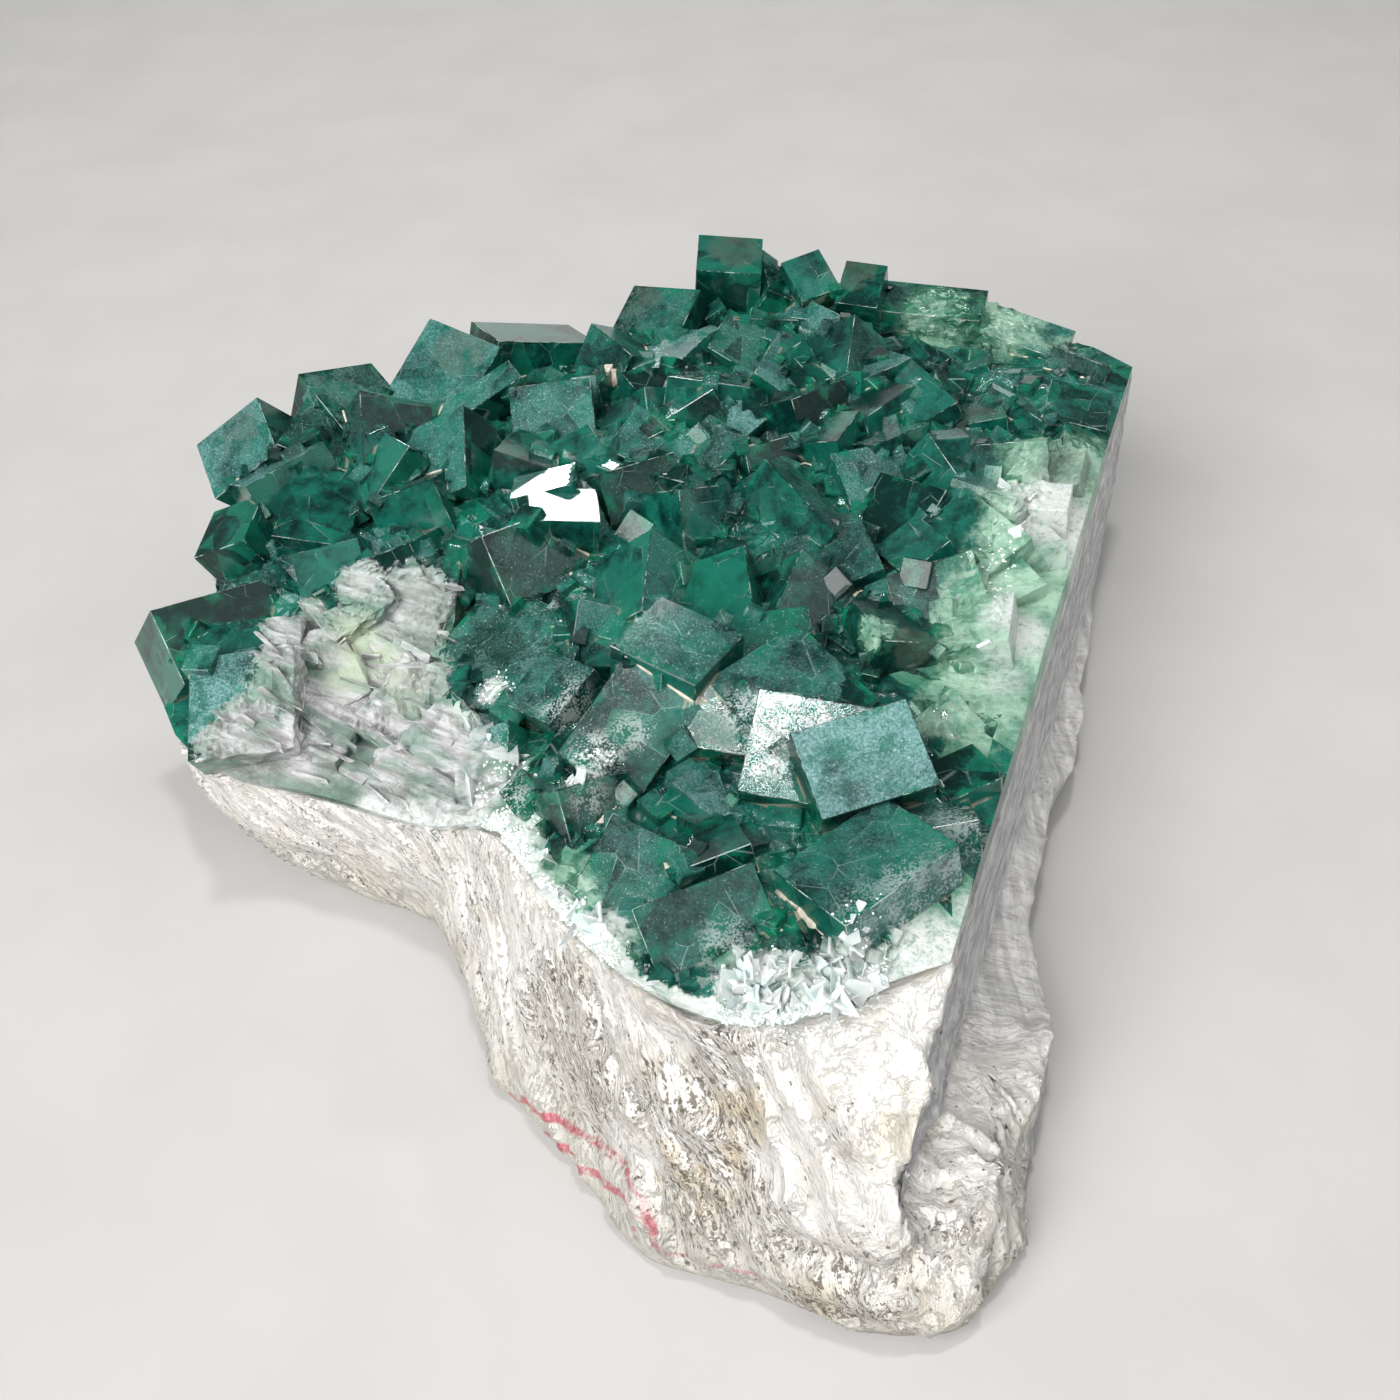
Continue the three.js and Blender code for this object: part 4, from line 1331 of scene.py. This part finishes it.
def valley_fillets(mesh, sides, keys, width_of, step=1.2 * MM):
    """Closed three-sided threads along these valleys; width_of gives the width in metres at a place."""
    places, faces = [], []
    for start, end in keys:
        (_, inward_a), (_, inward_b) = sides[(start, end)]
        first, last = mesh.vertices[start].co, mesh.vertices[end].co
        count = max(2, int((last - first).length / step) + 1)
        base = len(places)
        for index in range(count):
            spot = first.lerp(last, index / (count - 1))
            width = width_of(spot)
            places.append(spot - (inward_a + inward_b) * 0.1 * MM)
            places.append(spot + inward_a * width)
            places.append(spot + inward_b * width)
        for index in range(count - 1):
            ring = base + 3 * index
            for side in range(3):
                other = (side + 1) % 3
                faces.append((ring + side, ring + other, ring + 3 + other, ring + 3 + side))
        faces.append((base + 2, base + 1, base))
        top = base + 3 * (count - 1)
        faces.append((top, top + 1, top + 2))
    return places, faces


def mesh_piece(name, places, faces, material):
    """A piece from arrays, with one material."""
    mesh = bpy.data.meshes.new(name)
    mesh.from_pydata([tuple(place) for place in places], [], faces)
    mesh.materials.append(material)
    mesh.update()
    return placed(name, mesh)


class FLUORITE_OT_clay(bpy.types.Operator):
    """Packs tan clay into the seams between the crystals"""

    bl_idname = "fluorite.clay"
    bl_label = "Crevice clay"

    def execute(self, context):
        settings = context.scene.fluorite_crystal
        bare = bare_crust("bare_crust")
        mesh = bare.data
        sides = face_edges(mesh)
        _, valleys = crease_kinds(mesh, sides, SEAM_ANGLE)
        chosen = [key for key in valleys if self.holds_clay(mesh, sides, key)]
        places, faces = valley_fillets(mesh, sides, chosen, self.width)
        bpy.data.objects.remove(bare)
        darker = [0.6 * part for part in settings.clay]
        material = grain_material("tan_clay", settings.clay, darker, 2.2)
        clay = mesh_piece("crevice_clay", places, faces, material)
        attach(clay, BODY)
        return {"FINISHED"}

    def holds_clay(self, mesh, sides, key):
        """Whether clay lies in this valley: near a chosen spot, or here and there by chance."""
        first, last = (mesh.vertices[index].co for index in key)
        middle = (first + last) / 2
        looks_up = all(mesh.polygons[index].normal.z > -0.1 for index, _ in sides[key])
        if not looks_up or (last - first).length < 1.0 * MM or middle.z < 45 * MM:
            return False
        if from_saw(np.array([middle]))[0] < 3:
            return False
        named = any((middle - Vector(centre) * MM).length < radius * MM for centre, radius, _ in CLAY_SPOTS)
        return named or field.noise(middle * 90) > 0.2

    def width(self, place):
        """How wide the clay is at a place, in metres."""
        width = 0.3 + 0.3 * field.noise(place * 300)
        for centre, radius, most in CLAY_SPOTS:
            away = (place - Vector(centre) * MM).length / (radius * MM)
            width = max(width, most * (1 - away * away) * (0.8 + 0.5 * field.noise(place * 500)))
        return max(0.12, width) * MM


def flat_flake(corners, seed):
    """A thin irregular plate of unit size."""
    deselect()
    bpy.ops.mesh.primitive_cylinder_add(vertices=corners, radius=0.5, depth=0.14)
    flake = bpy.context.object
    random = np.random.default_rng(seed)
    for low, high in ((index, index + 1) for index in range(0, 2 * corners, 2)):
        shift = random.uniform(-0.16, 0.16, 2)
        for vertex in (flake.data.vertices[low], flake.data.vertices[high]):
            vertex.co.x += shift[0]
            vertex.co.y += shift[1]
    edit_all(flake, bpy.ops.mesh.bevel, offset=0.03, segments=1)
    return template(flake)


def shard(corners, seed):
    """A pointed splinter of unit height."""
    deselect()
    bpy.ops.mesh.primitive_cone_add(vertices=corners, radius1=0.42, radius2=0.1, depth=1.0)
    splinter = bpy.context.object
    random = np.random.default_rng(seed)
    for vertex in splinter.data.vertices:
        vertex.co.x = vertex.co.x * 1.3 + random.uniform(-0.12, 0.12)
        vertex.co.y = vertex.co.y * 0.5 + random.uniform(-0.08, 0.08)
        vertex.co.z += random.uniform(-0.2, 0.2)
    return template(splinter)


def blade(seed):
    """A thin cleavage blade of unit length that stands on its edge."""
    deselect()
    bpy.ops.mesh.primitive_cube_add(size=1.0)
    made = bpy.context.object
    random = np.random.default_rng(seed)
    for vertex in made.data.vertices:
        upper = vertex.co.z > 0
        vertex.co.x = vertex.co.x * (0.7 if upper else 1.0) + random.uniform(-0.12, 0.12)
        vertex.co.y = vertex.co.y * (0.3 if upper else 1.0) + random.uniform(-0.2, 0.2)
        vertex.co.z += random.uniform(-0.1, 0.25)
    for face in made.data.polygons:
        face.material_index = 1
    return template(made)


def rough_grain(seed):
    """A small lump of unit size with uneven facets."""
    deselect()
    bpy.ops.mesh.primitive_ico_sphere_add(subdivisions=1, radius=0.5)
    grain = bpy.context.object
    random = np.random.default_rng(seed)
    for vertex in grain.data.vertices:
        vertex.co *= random.uniform(0.65, 1.15)
    return template(grain)


def rim_places(ground):
    """Places along the outer border of the crust's top, with the way out at each."""
    found = []
    for degrees in np.arange(0, 360, 0.5):
        way = Vector((math.cos(math.radians(degrees)), math.sin(math.radians(degrees)), 0))
        for reach in np.arange(180, 40, -1.0):
            hit = ground.ray_cast(way * reach * MM + UP * RAY_HEIGHT, DOWN)[0]
            if hit is not None and hit.z > 38 * MM:
                found.append((hit, way))
                break
    return found


def top_of(grounds, place):
    """The highest surface under a place, and its normal."""
    best = None
    for ground in grounds:
        hit, normal, _, _ = ground.ray_cast(Vector((place.x, place.y, RAY_HEIGHT)), DOWN)
        if hit is not None and (best is None or hit.z > best[0].z):
            best = (hit, normal)
    return best


def laid(place, normal, size, random, flat=0.3, sink=0.3):
    """A matrix that lays a small shape on a surface, tilted at random."""
    lean = Vector(random.normal(0, flat, 3)) + Vector(normal)
    turn = lean.to_track_quat("Z", "Y").to_matrix().to_4x4()
    spin = Matrix.Rotation(random.uniform(0, math.tau), 4, "Z")
    stretch = Matrix.Diagonal((size, size * random.uniform(0.5, 1.0), size * random.uniform(0.7, 1.2), 1))
    return Matrix.Translation(place + Vector(normal) * size * (0.2 - sink)) @ turn @ spin @ stretch


def around(centre, away, angle):
    """A place in metres at a distance in mm from a centre in mm, seen from above."""
    return Vector((centre[0] + away * math.cos(angle), centre[1] + away * math.sin(angle), 0)) * MM


def sprinkle(spots, grounds, random, shapes, sizes, flat=0.3, sink=0.3):
    """Placements on the surface around spots: a centre in mm, a radius in mm and a count each."""
    placements = []
    for centre, radius, count in spots:
        for _ in range(count):
            away = radius * math.sqrt(random.random()) * (0.4 + 0.6 * random.random())
            angle = random.uniform(0, math.tau)
            found = top_of(grounds, around(centre, away, angle))
            if found is None or found[0].z < 30 * MM or from_saw(np.array([found[0]]))[0] < 1.5:
                continue
            size = random.uniform(*sizes) * MM
            matrix = laid(found[0], found[1], size, random, flat, sink)
            placements.append((int(random.integers(len(shapes))), matrix, size, random.random(), 0.5))
    return placements


def streaked_blades(ground, random, first, kinds):
    """Placements of blades that follow the streaks of the west slope."""
    placements = []
    for centre, radius, count in BLADE_SPOTS:
        for _ in range(count):
            away, angle = radius * math.sqrt(random.random()), random.uniform(0, math.tau)
            found = top_of([ground], around(centre, away, angle))
            if found is None:
                continue
            place, normal = found
            along = STREAK_WAY + Vector(random.normal(0, 0.15, 3))
            across = normal.cross(along).normalized()
            along = across.cross(normal)
            frame_of = Matrix((along, across, normal)).transposed().to_4x4()
            length, width, height = (
                random.uniform(*sizes) * MM for sizes in (BLADE_LENGTHS, BLADE_WIDTHS, BLADE_HEIGHTS))
            stretch = Matrix.Diagonal((length, width, height, 1))
            lean = Matrix.Rotation(random.normal(0, 0.5), 4, "X")
            matrix = Matrix.Translation(place) @ frame_of @ lean @ stretch
            placements.append((first + int(random.integers(kinds)), matrix, length, random.random(), 0.5))
    return placements


class FLUORITE_OT_flakes(bpy.types.Operator):
    """Scatters cleavage flakes over the front rim, the west slope and the saw's edge"""

    bl_idname = "fluorite.flakes"
    bl_label = "Cleavage flakes"

    def execute(self, context):
        settings = context.scene.fluorite_crystal
        depsgraph = bpy.context.evaluated_depsgraph_get()
        crust = BVHTree.FromObject(bpy.data.objects["crystal_crust"], depsgraph)
        random = np.random.default_rng(FLAKE_SEED)
        shapes = [flat_flake(4, 1), flat_flake(5, 2), flat_flake(6, 3), flat_flake(4, 4)]
        placements = sprinkle(FLAKE_SPOTS, [crust], random, shapes, FLAKE_SIZES, flat=1.2, sink=0.2)
        shapes += [shard(4, 5), shard(3, 6), shard(5, 7)]
        splinters = sprinkle(SHARD_SPOTS, [crust], random, shapes[4:], SHARD_SIZES, flat=0.3, sink=0.08)
        placements += [(index + 4, *rest) for index, *rest in splinters]
        shapes += [blade(8), blade(9), blade(10)]
        placements += streaked_blades(crust, random, 7, 3)
        materials = [glass_material(settings), blade_material(settings)]
        flakes = scatter("cleavage_flakes", shapes, placements, materials)
        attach(flakes, BODY)
        return {"FINISHED"}


class FLUORITE_OT_grains(bpy.types.Operator):
    """Sprinkles white sugary grains over the border of crust and rock, and frost on the front crystals"""

    bl_idname = "fluorite.grains"
    bl_label = "White grains"

    def execute(self, context):
        depsgraph = bpy.context.evaluated_depsgraph_get()
        crust = BVHTree.FromObject(bpy.data.objects["crystal_crust"], depsgraph)
        rock = BVHTree.FromObject(bpy.data.objects["foliated_rock"], depsgraph)
        random = np.random.default_rng(GRAIN_SEED)
        shapes = [rough_grain(1), rough_grain(2), rough_grain(3)]
        placements = []
        for place, way in rim_places(crust):
            front = smoothstep(10, -60, place.y / MM) * (place.z < 59 * MM)
            for _ in range(int(18 * front)):
                inwards = random.normal(1.0, 1.6) * MM
                side = way.cross(UP) * random.uniform(-0.8, 0.8) * MM
                found = top_of([crust, rock], place - way * inwards + side)
                if found is None or found[0].z < place.z - 5 * MM or from_saw(np.array([found[0]]))[0] < 1:
                    continue
                if random.random() > 2.5 * zone_marks(np.array([found[0]]))["white"][0]:
                    continue
                size = random.uniform(*GRAIN_SIZES) * MM
                matrix = laid(found[0], found[1], size, random)
                placements.append((int(random.integers(len(shapes))), matrix, size, random.random(), 0.5))
        placements += sprinkle(FROST_SPOTS, [crust], random, shapes, FROST_SIZES)
        sugar = grain_material("white_sugar", SHADES["grain"], SHADES["grain_dark"], 1.2)
        grains = scatter("white_grains", shapes, placements, [sugar])
        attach(grains, BODY)
        return {"FINISHED"}


class FLUORITE_PT_panel(bpy.types.Panel):
    """Lists the parts of the specimen"""

    bl_label = "Fluorite cluster"
    bl_idname = "FLUORITE_PT_panel"
    bl_space_type = "VIEW_3D"
    bl_region_type = "UI"
    bl_category = "Fluorite"

    def draw(self, context):
        for operator in OPERATORS:
            self.layout.operator(operator.bl_idname)
        for group in SETTINGS:
            box = self.layout.box()
            for name in SETTINGS[group].__annotations__:
                box.prop(getattr(context.scene, group), name)


SETTINGS = {
    "fluorite_stage": StageSettings,
    "fluorite_rock": RockSettings,
    "fluorite_crystal": CrystalSettings,
}
OPERATORS = (
    FLUORITE_OT_stage, FLUORITE_OT_rock, FLUORITE_OT_crust, FLUORITE_OT_small_cubes, FLUORITE_OT_clay,
    FLUORITE_OT_flakes, FLUORITE_OT_grains,
)
CLASSES = (*SETTINGS.values(), *OPERATORS, FLUORITE_PT_panel)


def register():
    for made in CLASSES:
        bpy.utils.register_class(made)
    for name, group in SETTINGS.items():
        setattr(bpy.types.Scene, name, PointerProperty(type=group))


def unregister():
    for name in SETTINGS:
        delattr(bpy.types.Scene, name)
    for made in reversed(CLASSES):
        bpy.utils.unregister_class(made)


def main():
    register()
    bpy.ops.fluorite.stage()
    bpy.ops.fluorite.rock()
    bpy.ops.fluorite.crust()
    bpy.ops.fluorite.small_cubes()
    bpy.ops.fluorite.clay()
    bpy.ops.fluorite.flakes()
    bpy.ops.fluorite.grains()
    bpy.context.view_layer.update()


if __name__ == "__main__":
    main()
